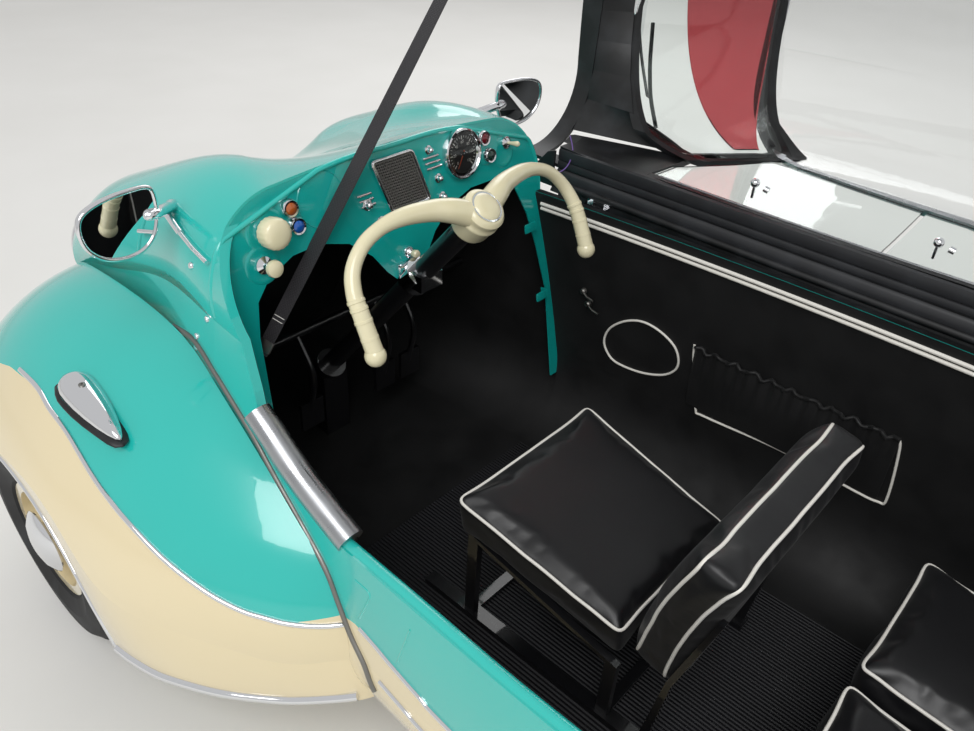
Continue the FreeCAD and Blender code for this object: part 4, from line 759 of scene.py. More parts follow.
def headlamp():
    """A headlamp's plated lip and its clip, with the bulb that shows through the pressed glass."""
    at = Matrix.Translation((0.250, -0.215, 0.598)) @ Matrix.Rotation(math.radians(90), 4, "X")
    lip_rings = [(70, 17), (72, 20), (76, 23), (81, 18), (83, 9), (82, 2), (78, 0.5)]
    lip = turned("lip", lip_rings, chrome, at, sides=48)
    screw = turned("clip", [(4, 0), (4, 3), (2.5, 4), (0.02, 4.2)], chrome,
                   at @ Matrix.Translation((0, -0.0785, 0.021)), sides=14)
    bulb = turned("bulb", [(9, -34), (9, -12), (7, -5), (3.5, -1), (0.02, 0)], safety_glass, at, sides=20)
    return joined([lip, screw, bulb], "headlamp_bezel_left")


bezel = headlamp()
other = mirrored(bezel, "headlamp_bezel_right")
carried_by("chassis", "chrome_trim", bezel, other)


# Door mirrors

def door_mirror(name, side, centre, yaw, foot):
    """A plated mirror head shaped like a rounded trapezoid, its silvered glass facing the driver."""
    face = [(-50, 40), (-20, 44), (20, 42), (48, 32), (56, 12), (50, -14), (30, -34), (4, -43), (-22, -42),
            (-42, -30), (-53, -8), (-56, 18)]
    line = flowing([(x, z, 0) for x, z in face], per=4, closed=True)
    turn = Matrix.Translation(Vector(centre) * MM) @ Matrix.Rotation(math.radians(yaw), 4, "Z")
    upright = turn @ Matrix.Rotation(math.radians(-90), 4, "X") @ Matrix.Diagonal((side, -1, 1, 1))
    alone()
    bpy.ops.mesh.primitive_circle_add(vertices=len(line), radius=MM, fill_type="NOTHING")
    shell = bpy.context.object
    for vertex, spot in zip(shell.data.vertices, line):
        vertex.co = (spot.x * MM, spot.y * MM, 0)
    bpy.ops.object.mode_set(mode="EDIT")
    bpy.ops.mesh.select_all(action="SELECT")
    for share, step in ((1.02, -3), (0.97, -6), (0.86, -5), (0.66, -4), (0.4, -2.5), (0.15, -0.8)):
        bpy.ops.mesh.extrude_region_move(TRANSFORM_OT_translate={"value": (0, 0, step * MM)})
        bpy.ops.transform.resize(value=(share, share, 1), center_override=(0, 0, 0))
    bpy.ops.mesh.edge_face_add()
    close_up()
    settle(shell, "shell", chrome, upright)
    frame_line = [upright @ Vector((p.x * MM, p.y * MM, 0)) / MM for p in line]
    ring = drawn("ring", frame_line, 3.0, chrome, closed=True, round_steps=4)
    sunk = upright @ Matrix.Translation((0, 0, -0.001))
    glass = plate("glass", [p * 0.97 for p in line], 1.2, mirror_glass, sunk)
    root = Vector(foot)
    tip = Vector(centre) + Vector((-side * 52, -6, 2))
    bend = [root, root.lerp(tip, 0.4) + Vector((0, 0, 1)), tip, tip + Vector((side * 12, 0, 0))]
    taper = [1.35] + [1.2] * 5 + [1.0] * 7 + [0.8] * 6
    stem = drawn("stem", flowing(bend), 8.5, chrome, radii=taper)
    return joined([shell, ring, glass, stem], name)


left_mirror = door_mirror("mirror_left", 1, (424, 216, 832), 7, (296, 126, 798))
right_mirror = door_mirror("mirror_right", -1, (-424, 172, 822), -9, (-296, 126, 798))
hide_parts("mirrors")
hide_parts("mirrors")
carried_by("chassis", "chrome_trim", left_mirror, right_mirror)


# Dash panel and its instruments

# The panel leans forward with its height, from this place at this height
DASH_SLOPE, DASH_Y, DASH_Z = 0.171, 291, 740
DASH_LEAN = math.atan(DASH_SLOPE)
# Fittings stand this far off the panel, so that no faces share a place
STANDOFF = 0.3


def on_dash(x, z, out=0.0):
    """A place on the sloping dash panel: local X to the driver's right, Y up the panel, Z at the driver."""
    right, rise = Vector((-1, 0, 0)), Vector((0, -math.sin(DASH_LEAN), math.cos(DASH_LEAN)))
    facing = right.cross(rise)
    spot = Vector((x, DASH_Y - DASH_SLOPE * (z - DASH_Z), z)) + facing * out
    return Matrix.Translation(spot * MM) @ Matrix((right, rise, facing)).transposed().to_4x4()


def speedometer():
    """A round dial under glass: plated bezel, white ticks and numbers, orange needle."""
    at = on_dash(-146, 814, STANDOFF)
    bezel_rings = [(36, 5), (37, 9), (39.5, 11.5), (42, 10), (43, 5), (43, 0), (40, 0)]
    parts = [
        turned("bezel", bezel_rings, chrome, at, sides=64),
        turned("inner_ring", [(31.5, 4.2), (32.5, 6.5), (36, 8)], chrome, at, sides=64),
        turned("dial", [(36.5, 3.6), (20, 3.8), (0.02, 3.8)], dial_black, at, sides=48),
        turned("hub_cap", [(3.8, 4), (3.8, 7), (2.5, 8), (0.02, 8.2)], dial_black, at, sides=18),
        turned("cover_glass", [(36, 8.6), (20, 9.6), (0.02, 10)], safety_glass, at, sides=48),
    ]
    steps, first_angle, sweep = 24, 225, 270
    for i in range(steps + 1):
        angle = math.radians(first_angle - sweep * i / steps)
        numbered = i % 4 == 0
        inner, wide = (24, 0.9) if numbered else (26.5, 0.5)
        place = at @ Matrix.Translation((0, 0, 0.0040)) @ Matrix.Rotation(angle, 4, "Z")
        tick = [(inner, -wide), (30, -wide), (30, wide), (inner, wide)]
        parts.append(plate("tick", tick, 0.3, dial_white, place))
        if numbered:
            alone()
            bpy.ops.object.text_add()
            number = bpy.context.object
            number.data.body = str(i // 4 * 20)
            number.data.size = 0.0068
            number.data.align_x, number.data.align_y = "CENTER", "CENTER"
            bpy.ops.object.convert(target="MESH")
            spot = Vector((math.cos(angle), math.sin(angle), 0)) * 0.0195 + Vector((0, 0, 0.0041))
            parts.append(settle(bpy.context.object, "number", dial_white, at @ Matrix.Translation(spot)))
    pointing = at @ Matrix.Translation((0, 0, 0.0055)) @ Matrix.Rotation(math.radians(238), 4, "Z")
    needle = [(-6, -1.2), (27, -0.5), (27, 0.5), (-6, 1.2)]
    parts.append(plate("needle", needle, 0.5, needle_orange, pointing))
    return joined(parts, "speedometer_dial")


def knob(name, x, z, grip_rings, collar_rings, flutes):
    """An ivory knob on a plated collar, its grip fluted where the real one is."""
    at = on_dash(x, z, STANDOFF)
    grip = turned(name, grip_rings, ivory, at, sides=48)
    if flutes:
        for vertex in grip.data.vertices:
            local = at.inverted() @ vertex.co
            if math.hypot(local.x, local.y) > 0.019:
                ripple = 1 + 0.022 * math.cos(flutes * math.atan2(local.y, local.x))
                vertex.co = at @ Vector((local.x * ripple, local.y * ripple, local.z))
    return [grip, turned("collar", collar_rings, chrome, at, sides=32)]


def pilot_lamp(x, z, lens):
    """A coloured lens in its plated bezel."""
    at = on_dash(x, z, STANDOFF)
    return [
        turned("bezel", [(8.5, 4), (9.5, 8), (12, 8.5), (14, 5), (14.5, 0), (12, 0)], chrome, at, sides=36),
        turned("lens", [(9.2, 4), (8.6, 7.5), (6, 9.6), (3, 10.6), (0.02, 11)], lens, at, sides=28),
    ]


def stud(x, z, size):
    """A plated cap screw on its washer."""
    at = on_dash(x, z, STANDOFF)
    crown = size - 4 if size > 5 else 1
    washer = [(size + 3, 0), (size + 3, 1.4), (size + 1, 2.6), (size, 2.6)]
    cap = [(size, 1), (size, 7), (size - 1.4, 10), (crown, 11.4), (0.02, 11.6)]
    return [turned("washer", washer, chrome, at, sides=24), turned("cap", cap, chrome, at, sides=24)]


# Name, place across and up the panel, the grip's rings, the collar's rings and the number of flutes
KNOBS = [
    ("light_switch", 251, 796,
     [(15, 9), (22.5, 11), (23, 17), (22.5, 29), (20, 33), (14, 35.5), (7, 36.6), (0.02, 36.8)],
     [(18, 0), (18, 5), (13, 9), (11, 10)], 18),
    ("choke_pull", 267, 751,
     [(5, 22), (11.5, 24), (13, 28), (12, 33), (7, 35.4), (0.02, 36)],
     [(13, 0), (13, 4), (8, 7), (5.5, 9), (5.5, 23)], 0),
    ("wiper_toggle", -261, 807,
     [(2.6, 8), (3.4, 18), (4.8, 27), (5, 30), (3, 33), (0.02, 33.6)],
     [(11, 0), (11, 4), (8, 7), (4, 9), (2.5, 9)], 0),
    ("tongue_switch", -4, 684,
     [(4, 10), (6.5, 15), (7, 21), (5, 24), (0.02, 25)],
     [(10, 0), (10, 4), (7, 8), (4, 11)], 0),
]
PILOT_LAMPS = [(-203, 827, ruby_lens), (-215, 795, green_lens), (208, 817, amber_lens), (201, 789, blue_lens)]
STUDS = [(-73, 836, 4.5), (-89, 786, 5), (67, 783, 6), (44, 749, 6.5), (-94, 754, 5)]


def dash_fittings():
    """Everything that is screwed to the dash, apart from the dial and the grille."""
    parts = []
    for make, table in ((knob, KNOBS), (pilot_lamp, PILOT_LAMPS), (stud, STUDS)):
        for row in table:
            parts += make(*row)
    return joined(parts, "dash_knobs_and_lamps")


def dash_emboss():
    """Shallow pressed discs round the knobs, the blanking disc and the tabs on the right leg."""
    parts = []
    for x, z, size in ((251, 796, 31), (267, 751, 27), (-255, 790, 25), (-211, 811, 31)):
        rings = [(size + 3, -0.4), (size, 1.1), (size - 3, 1.4), (size - 5, 1.0), (0.02, 1.0)]
        parts.append(turned("disc", rings, shaded_dash_teal, on_dash(x, z), sides=64))
    blank = [(43.5, -0.4), (42, 1.0), (40.5, -0.4)]
    parts.append(turned("disc", blank, shaded_dash_teal, on_dash(150, 814), sides=64))
    for x, z in ((-322, 640), (-346, 492)):
        parts.append(plate("tab", oblong(17, 9, 4), 1.6, shaded_dash_teal, on_dash(x + 20, z, 14), soften=0.5))
        parts.append(plate("arm", oblong(1, 9), 16, shaded_dash_teal, on_dash(x + 4, z)))
    return joined(parts, "dash_pressings")


def woven(name, ends, other_ends, wires, crossings, phase, at):
    """One set of the grille's wires, each waving over and under the other set."""
    middle, over, under = 3.6, 0.9, -0.5
    parts = []
    for i in range(1, wires):
        first, last = ends[0].lerp(ends[1], i / wires), other_ends[0].lerp(other_ends[1], i / wires)
        line = []
        for j in range(crossings * 2 + 1):
            spot = first.lerp(last, j / (crossings * 2))
            spot.z = middle + (over if (j + i * 2 + phase) % 4 < 2 else under)
            line.append((at @ (spot * MM)) / MM)
        parts.append(drawn(name, line, 1.0, plain_steel, round_steps=0))
    return parts


def radio_grille():
    """The loudspeaker grille: wires woven inside a plated frame, with whisker bars beside it."""
    at = on_dash(0, 800, STANDOFF)
    flip = at.inverted()
    flat = []
    for x, z in ((50, 844), (-34, 845), (-62, 759), (21, 760)):
        local = flip @ on_dash(x, z, STANDOFF).translation
        flat.append(Vector((local.x / MM, local.y / MM, 0)))
    a, b, c, d = flat
    border = [(on_dash(0, 800, STANDOFF + 4) @ (p * MM)) / MM for p in eased(flat, 7)]
    parts = [drawn("border", border, 3.2, chrome, closed=True, round_steps=4)]
    parts.append(plate("backing", eased(flat, 6), 1.2, dial_black, at))
    across, along = 21, 19
    parts += woven("upright", (a, b), (d, c), across, along, 0, at)
    parts += woven("crosswire", (a, d), (b, c), along, across, 2, at)
    for k in range(3):
        for x0, x1, z in ((-58, -92, 824 - 9 * k), (58, 86, 800 - 9 * k)):
            ends = [on_dash(x - 3 * k, z, 2.2).translation / MM for x in (x0, x1)]
            parts.append(drawn("whisker", ends, 2.0, chrome))
    parts.append(plate("slot", oblong(44, 6, 5), 0.8, dial_black, on_dash(-6, 750, 0.2)))
    return joined(parts, "loudspeaker_grille")


dial = speedometer()
fittings = dash_fittings()
pressings = dash_emboss()
grille = radio_grille()
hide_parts("speedometer")
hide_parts("dash_controls")
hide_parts("dash_grille")
carried_by("chassis", "chrome_trim", dial, fittings, grille)
carried_by("chassis", "body_paint", pressings)


# Handlebar

def steering_bar():
    """The moulded ivory bar: a ringed hub, arms that thin out and drop, and ball ends."""
    arm = flowing([(18, 457, 812), (50, 448, 824), (80, 438, 829), (125, 430, 831), (165, 428, 826),
                   (200, 431, 812), (226, 440, 788), (238, 455, 762), (240, 470, 738), (239, 494, 690)], per=5)
    # The arm thins from the hub outwards and swells a little at its grip
    share = []
    for i in range(len(arm)):
        along = i / (len(arm) - 1)
        share.append(1.5 - 0.75 * min(1, along / 0.45) + 0.18 * max(0, (along - 0.6) / 0.4))
    half = [drawn("bar", arm, 14, ivory, radii=share, round_steps=6),
            ball("ball", (239, 496, 683), 15.5, ivory, segments=28, rings=16)]
    for k in range(4):
        spot = Vector(arm[-3 - k * 2])
        way = (Vector(arm[-2 - k * 2]) - spot).normalized()
        place = Matrix.Translation(spot * MM) @ way.to_track_quat("Z", "Y").to_matrix().to_4x4()
        half.append(turned("ring", [(11.6, -3), (13, -1.8), (13, 1.8), (11.6, 3)], ivory, place, sides=28))
    other = [mirrored(piece, piece.name + "_right") for piece in half]
    axis = Matrix.Translation((0, 0.457, 0.804)) @ Matrix.Rotation(math.radians(-40), 4, "X")
    hub_rings = [(30, -30), (32.5, -24), (33, -4), (34.5, -1), (34.5, 3), (33, 5), (32.5, 12), (33.6, 15),
                 (33.6, 19), (32, 21), (29, 25), (26, 26), (25.4, 24.8), (22, 24.8)]
    cap_rings = [(22.5, 24.5), (22.5, 27), (20, 29.5), (12, 31.4), (0.02, 32.2)]
    hub = turned("hub", hub_rings, ivory, axis, sides=56)
    cap = turned("horn_cap", cap_rings, ivory, axis, sides=48)
    ring = turned("hub_ring", [(24.6, 24.6), (25.2, 26.8), (22.6, 26.8)], chrome, axis, sides=48)
    return joined(half + other + [hub, cap, ring], "steering_bar")


bar = steering_bar()
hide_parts("handlebar")
carried_by("handlebar", "ivory_plastic", bar)


# Check strap

STRAP_LOW, STRAP_HIGH = (297, 305, 620), (-398, 283, 1456)
STRAP_HALF_WIDE, STRAP_HALF_THICK, STRAP_SAG, STRAP_TWIST = 13, 0.9, 5, math.radians(7)


def check_strap():
    """The nylon strap that holds the canopy, stitched near its ends, with a steel eye at each."""
    low = Vector(STRAP_LOW)
    line = Vector(STRAP_HIGH) - low
    along = line.normalized()
    across = Vector((0, 1, 0)) - along * along.y
    across.normalize()
    flat = along.cross(across)
    steps = 60
    corners, faces = [], []
    for i in range(steps + 1):
        t = i / steps
        twist = STRAP_TWIST * math.sin(math.pi * 2 * t)
        side = across * math.cos(twist) + flat * math.sin(twist)
        face = flat * math.cos(twist) - across * math.sin(twist)
        middle = low + line * t + Vector((0, 0, -1)) * STRAP_SAG * math.sin(math.pi * t)
        for a, b in ((-1, -1), (1, -1), (1, 1), (-1, 1)):
            corners.append(middle + side * STRAP_HALF_WIDE * a + face * STRAP_HALF_THICK * b)
    for i in range(steps):
        for k in range(4):
            a, b = i * 4 + k, i * 4 + (k + 1) % 4
            faces.append((a, b, b + 4, a + 4))
    faces += [(3, 2, 1, 0), tuple(steps * 4 + k for k in range(4))]
    strap = sheet_of("strap", corners, faces)
    mesh = strap.data
    weave = mesh.uv_layers.new(name="UVMap")
    for polygon in mesh.polygons:
        for loop in polygon.loop_indices:
            index = mesh.loops[loop].vertex_index
            weave.data[loop].uv = (((index % 4) in (1, 2)) * 1.0, (index // 4) / steps)
    settle(strap, "strap", webbing)

    def across_strap(name, t, outline, thick, material, soften=0.0):
        """A piece laid across the strap at a share of its length, its thickness centred on the strap."""
        turn = Matrix((across, along, flat)).transposed().to_4x4()
        place = Matrix.Translation((low + line * t) * MM) @ turn @ Matrix.Translation((0, 0, -thick / 2 * MM))
        return plate(name, outline, thick, material, place, soften)

    fittings = [across_strap("eye", t, oblong(15, 9, 4), 3.2, plain_steel, 0.6) for t in (0.012, 0.988)]
    for t in (0.05, 0.056, 0.944, 0.95):
        fittings.append(across_strap("stitch", t, oblong(11, 0.5), 3.0, dial_white))
    for piece in fittings:
        piece.data.uv_layers.new(name="UVMap")
    return joined([strap] + fittings, "strap_of_webbing"), along


strap, strap_way = check_strap()
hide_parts("check_strap")
carried_by("chassis", "webbing", strap)
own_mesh(strap)


# Seats

PIPING_RADIUS, PIPING_LIFT, PIPING_STEP = 2.6, 0.8, 9
# Half of the gap between the two rear pads
SPLIT = 4


def pad_form(low, high, round_off, pinch=4):
    """A pad between two outlines, with eased edges and a little room to swell into."""
    corners = [*low, *high]
    middle = Vector([sum(c[k] for c in corners) / len(corners) for k in range(3)])
    spots = []
    for corner in corners:
        away = Vector(corner) - middle
        spots.append(middle + Vector([a - math.copysign(min(pinch, abs(a)), a) for a in away]))
    sides = [(3, 2, 1, 0), (4, 5, 6, 7), (0, 1, 5, 4), (1, 2, 6, 5), (2, 3, 7, 6), (3, 0, 4, 7)]
    return worked(sheet_of("pad", spots, sides), "BEVEL", width=round_off * MM, segments=4)


def swollen(pad, most, voxel=0.006):
    """Blow the pad up as cloth, held within a few millimetres, and smooth it."""
    pick(pad)
    pad.data.remesh_voxel_size = voxel
    bpy.ops.object.voxel_remesh()
    rest = [v.co.copy() for v in pad.data.vertices]
    puff = pad.modifiers.new("puff", "CLOTH")
    puff.settings.use_pressure = True
    puff.settings.uniform_pressure_force = 4.0
    puff.settings.effector_weights.gravity = 0
    puff.settings.quality = 5
    scene = bpy.context.scene
    for step in range(1, 21):
        scene.frame_set(step)
    graph = bpy.context.evaluated_depsgraph_get()
    shape = pad.evaluated_get(graph).to_mesh()
    spots = [v.co.copy() for v in shape.vertices]
    pad.modifiers.remove(puff)
    scene.frame_set(1)
    for vertex, start, spot in zip(pad.data.vertices, rest, spots):
        move = spot - start
        if move.length > most * MM:
            move = move.normalized() * most * MM
        vertex.co = start + move
    worked(pad, "SMOOTH", factor=0.5, iterations=3)
    return worked(pad, "SUBSURF", levels=1)


def piped(name, corners, cloth, round_off=26):
    """White piping that runs round a pad's edge, laid on the swollen cloth itself."""
    spots = []
    for spot in spaced(eased(corners, round_off), PIPING_STEP, closed=True):
        near = cloth.find_nearest(spot * MM)
        spots.append(near[0] / MM + near[1] * PIPING_LIFT)
    for _ in range(3):
        spots = [(spots[i - 1] + spot * 2 + spots[(i + 1) % len(spots)]) / 4 for i, spot in enumerate(spots)]
    return drawn(name, spots, PIPING_RADIUS, white_vinyl, closed=True)


def face_of(left, right, y0, y1, z0, z1):
    """The corners of one face of a pad, from its front edge to its rear edge."""
    return [(left, y0, z0), (right, y0, z0), (right, y1, z1), (left, y1, z1)]


def driver_cushion():
    """The thick pad of the driver's seat, falling and narrowing to the rear."""
    low_corner, high_corner = in_mm(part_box("seat_cushion"))
    front, rear, top, half = low_corner.y, high_corner.y, high_corner.z, high_corner.x
    thick_front, thick_rear, fall, narrowing = 78, 70, 70, 0.12
    under = face_of(8 - half, half - 8, front + 8, rear, top - thick_front, top - (fall + thick_rear))
    pad = pad_form(under, face_of(-half, half, front, rear, top, top - fall), 13)
    for vertex in pad.data.vertices:
        share = (vertex.co.y / MM - front) / (rear - front)
        vertex.co.x *= 1 - narrowing * share
    pad = swollen(pad, 9)
    cloth = surface_of(pad)
    wide, tail = half - 2, half * (1 - narrowing) - 2
    rim = [(-wide, front + 3, top - 4), (wide, front + 3, top - 4), (tail, rear - 2, top - 72),
           (-tail, rear - 2, top - 72)]
    pad = settle(pad, "pad", seat_vinyl)
    return joined([pad, piped("piping", rim, cloth)], "driver_cushion")


def driver_backrest():
    """The leaning back pad, bent as a whole and hollowed across its middle, piped round both faces."""
    low_corner, high_corner = in_mm(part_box("seat_back"))
    y0, z0, z1 = low_corner.y, low_corner.z, high_corner.z
    lean, fall, thick, wide_low, wide_high = 75.24, 12, 62, 165, 200
    base, crown = (y0, z0 + fall), (y0 + lean, z1)

    def level_face(y, z, half):
        return face_of(-half, half, y, y + thick, z, z - fall)

    pad = swollen(pad_form(level_face(*base, wide_low), level_face(*crown, wide_high), 15), 10)
    cloth = surface_of(pad)
    parts = [settle(pad, "pad", seat_vinyl)]
    for name, behind, below in (("front_piping", 2, 0), ("rear_piping", thick - 4, fall)):
        y, z = base[0] + behind, base[1] - below + 3
        y_top, z_top = crown[0] + behind, crown[1] - below - 3
        ring = [(wide_low - 2, y, z), (wide_high - 3, y_top, z_top), (3 - wide_high, y_top, z_top),
                (2 - wide_low, y, z)]
        parts.append(piped(name, ring, cloth, 34))
    whole = joined(parts, "driver_backrest")
    belly, sag = 15, 9
    for vertex in whole.data.vertices:
        share = min(1, max(0, (vertex.co.z / MM - z0) / (z1 - z0)))
        middle = max(0, 1 - (vertex.co.x / 0.2) ** 2)
        hollow = sag * middle * math.sin(math.pi * share * 1.1)
        vertex.co.y += (hollow - belly * math.sin(math.pi * share)) * MM
    whole.data.update()
    return whole


def rear_cushions():
    """Two pads side by side on the rear seat's box."""
    low_corner, high_corner = in_mm(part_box("rear_cushion"))
    y0, y1, z0, z1 = low_corner.y, high_corner.y, low_corner.z, high_corner.z
    half, fall = high_corner.x, 26
    parts = []
    for name, left, right in (("near", SPLIT, half), ("far", -half, -SPLIT)):
        under, upper = face_of(left, right, y0 + 6, y1, z0, z0), face_of(left, right, y0, y1, z1, z1 - fall)
        pad = swollen(pad_form(under, upper, 15), 11, voxel=0.007)
        cloth = surface_of(pad)
        rim = face_of(left + 3, right - 3, y0 + 3, y1 - 3, z1 - 4, z1 - (fall + 4))
        parts += [settle(pad, name, seat_vinyl), piped("piping", rim, cloth, 30)]
    return joined(parts, "rear_cushions")


def rear_backrest():
    """Two pads side by side against the bulkhead, thinner and narrower at the top."""
    low_corner, high_corner = in_mm(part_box("rear_back"))
    y0, y1, z0, z1 = low_corner.y, high_corner.y, low_corner.z, high_corner.z
    half, narrower, thick_top = high_corner.x, 40, 62
    crown = y1 - thick_top
    parts = []
    for name, side in (("near", 1), ("far", -1)):
        foot, head = sorted((side * SPLIT, side * half)), sorted((side * SPLIT, side * (half - narrower)))
        form = pad_form(face_of(*foot, y0, y1, z0, z0), face_of(*head, crown, y1, z1, z1), 15)
        pad = swollen(form, 11, voxel=0.007)
        for vertex in pad.data.vertices:
            vertex.co.y = min(vertex.co.y, y1 * MM)
        cloth = surface_of(pad)
        rim = [(foot[0] + 3, y0 + 2, z0 + 4), (foot[1] - 3, y0 + 2, z0 + 4), (head[1] - 3, crown + 2, z1 - 4),
               (head[0] + 3, crown + 2, z1 - 4)]
        parts += [settle(pad, name, seat_vinyl), piped("piping", rim, cloth, 34)]
    return joined(parts, "rear_backrest")


for make, node, fill in ((driver_cushion, "seat_cushion", 0.7), (driver_backrest, "seat_back", 0.6),
                         (rear_cushions, "rear_cushion", 0.6), (rear_backrest, "rear_back", 0.6)):
    pad = make()
    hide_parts(node)
    carried_by("chassis", "seat_vinyl", pad)


# Cabin

def cabin_linings():
    """Black leathercloth glued to the inside of the body's walls and behind the dash."""
    cabin_middle = 430

    def inside(centre, normal):
        return normal.dot(Vector((-centre.x, 0, cabin_middle - centre.z)).normalized()) > 0.2

    right = lining("lining_right", "right_wall", inside, 0.6, trim_vinyl)
    left = lining("lining_left", "left_wall", lambda c, n: inside(c, n) and n.z < 0.8, 0.6, trim_vinyl)
    cap = lining("wall_cap_right", "right_wall", lambda c, n: n.z > 0.5 and c.z > 600, 0.8, rubber)
    carried_by("chassis", "black_rubber", cap)
    deck = lining("lining_front", "nose_shell",
                  lambda c, n: n.dot(Vector((-c.x, 40 - c.y, 450 - c.z))) > 0 and c.y > -400, 0.4, trim_vinyl)
    carried_by("chassis", "trim_vinyl", right, left, deck)


def wall_piping():
    """White trim on the right wall: a twin strip under the rail, an oval patch and the pocket's edge."""
    wall = surface_of(nodes["right_wall"])
    before = -300
    inwards = (1, 0, 0)
    parts = []
    for z in (677, 667):
        line = laid([(before, y, z) for y in (292, 700, 1100, 1478)], wall, inwards, lift=1.4, step=20)
        parts.append(drawn("strip", line, 3.6, white_vinyl))
    oval = [(472, 414), (481, 452), (514, 485), (553, 501), (594, 495), (628, 473), (638, 436), (617, 405),
            (574, 385), (527, 378), (492, 384)]
    ring = flowing([(before, y, z) for y, z in oval], closed=True)
    line = laid(ring, wall, inwards, lift=1.6, closed=True)
    parts.append(drawn("oval", line, 2.4, white_vinyl, closed=True))
    pocket = [(664, 500), (668, 462), (690, 361), (714, 351), (867, 360), (1000, 354), (1047, 356),
              (1059, 371), (1047, 481), (1037, 497)]
    edge = flowing([(before, y, z) for y, z in pocket])
    parts.append(drawn("pocket", laid(edge, wall, inwards, lift=1.8), 2.4, white_vinyl))
    carried_by("chassis", "ivory_plastic", joined(parts, "wall_piping"))


POCKET_FRONT, POCKET_LENGTH, POCKET_TOP, POCKET_DEPTH = 668, 376, 496, 134
# The wall's place where no face is met, the cloth's distance from it, its fullness and the depth of its pleats
POCKET_WALL, POCKET_CLEAR, POCKET_BELLY, POCKET_PLEAT = -374, 2, 15, 3.2


def map_pocket():
    """The map pocket's cloth: gathered at its hem, bellied below, standing off the wall."""
    wall = surface_of(nodes["right_wall"])
    across, down = 72, 12
    corners, faces = [], []
    for i in range(across + 1):
        y = POCKET_FRONT + POCKET_LENGTH * i / across
        middle = math.sin(math.pi * (0.04 + 0.92 * i / across)) ** 0.5
        for j in range(down + 1):
            t = j / down
            z = POCKET_TOP - POCKET_DEPTH * t + 4 * math.sin(i * 0.9) * (1 - t)
            hit = wall.ray_cast(Vector((-0.2, y * MM, z * MM)), Vector((-1, 0, 0)), 0.4)
            x = hit[0].x / MM if hit[0] is not None else POCKET_WALL
            full = math.sin(math.pi * (0.12 + 0.8 * t)) * middle
            pleat = math.sin(i * 1.5 + 0.8 * math.sin(i * 0.37)) * (1 - t) ** 1.5
            corners.append((x + POCKET_CLEAR + POCKET_BELLY * full + POCKET_PLEAT * pleat, y, z))
    row = down + 1
    for i in range(across):
        for j in range(down):
            a = i * row + j
            faces.append((a, a + 1, a + row + 1, a + row))
    cloth = worked(sheet_of("pocket_cloth", corners, faces), "SOLIDIFY", thickness=0.0012)
    settle(cloth, "pocket_cloth", trim_vinyl)
    hem = drawn("pocket_hem", [(x + 1, y, z + 1) for x, y, z in corners[::row]], 3.4, trim_vinyl)
    carried_by("chassis", "trim_vinyl", joined([cloth, hem], "map_pocket"))


def clips_and_wire():
    """Two bright fittings on the right wall in front, and the loose wire by the hinge."""
    parts = []
    for y, z in ((419, 519), (434, 496)):
        place = Matrix.Translation((-0.369, y * MM, z * MM)) @ Matrix.Rotation(math.radians(90), 4, "Y")
        head = [(7, 0), (7, 5), (5, 8), (3, 9), (0.02, 9.4)]
        parts.append(turned("clip", head, plain_steel, place, sides=20))
        tail = [(-364, y, z), (-360, y + 14, z - 6), (-358, y + 30, z - 7)]
        parts.append(drawn("tail", tail, 2.6, plain_steel))
    carried_by("chassis", "silencer_steel", joined(parts, "wall_clips"))
    wire = flowing([(-352, 300, 742), (-372, 318, 733), (-388, 330, 744), (-402, 330, 770), (-408, 316, 796)])
    carried_by("chassis", "black_rubber", drawn("hinge_wire", wire, 1.2, violet_wire))


def hinge_seal():
    """The rubber flap that closes the gap between the right wall and the canopy's hinged rail."""
    wall = surface_of(nodes["right_wall"])
    foot_x, roll_x, roll_z, wall_top = -384, -394, 704, 690
    front, length, stations = 300, 1176, 60
    upper, lower = [], []
    for k in range(stations):
        y = front + length * k / (stations - 1)
        hit = wall.ray_cast(Vector((-0.383, y * MM, 0.9)), Vector((0, 0, -1)), 0.5)
        foot = hit[0].z / MM if hit[0] is not None else wall_top
        lower.append((foot_x, y, foot - 2))
        upper.append((roll_x, y, roll_z))
    roll = drawn("flap", upper, 7.5, rubber, round_steps=4)
    faces = [(k, k + 1, stations + k + 1, stations + k) for k in range(stations - 1)]
    web = worked(sheet_of("web", upper + lower, faces), "SOLIDIFY", thickness=0.003, offset=0)
    settle(web, "web", rubber)
    carried_by("chassis", "black_rubber", joined([roll, web], "hinge_seal"))


violet_wire = moulded("violet_wire", "#6B4E97", 0.4, "#7A5BA8")
cabin_linings()
wall_piping()
map_pocket()
clips_and_wire()
hinge_seal()


# Canopy, in its open place

HINGE_X, HINGE_Z = -396, 704
# Height of the canopy's middle plane with the canopy standing open
OPEN_MIDDLE = HINGE_Z - HINGE_X
# The hoop's reach along the car, and the height that its bead is searched for from
HOOP_FRONT, HOOP_REAR, HOOP_CENTRE = 466, 607, 860


def opened(x, y, z):
    """Where a point of the closed canopy lies with the canopy standing open."""
    return Vector((HINGE_X - (z - HINGE_Z), y, HINGE_Z + (x - HINGE_X)))


def closed_height(point):
    return HINGE_Z - (point[0] - HINGE_X)


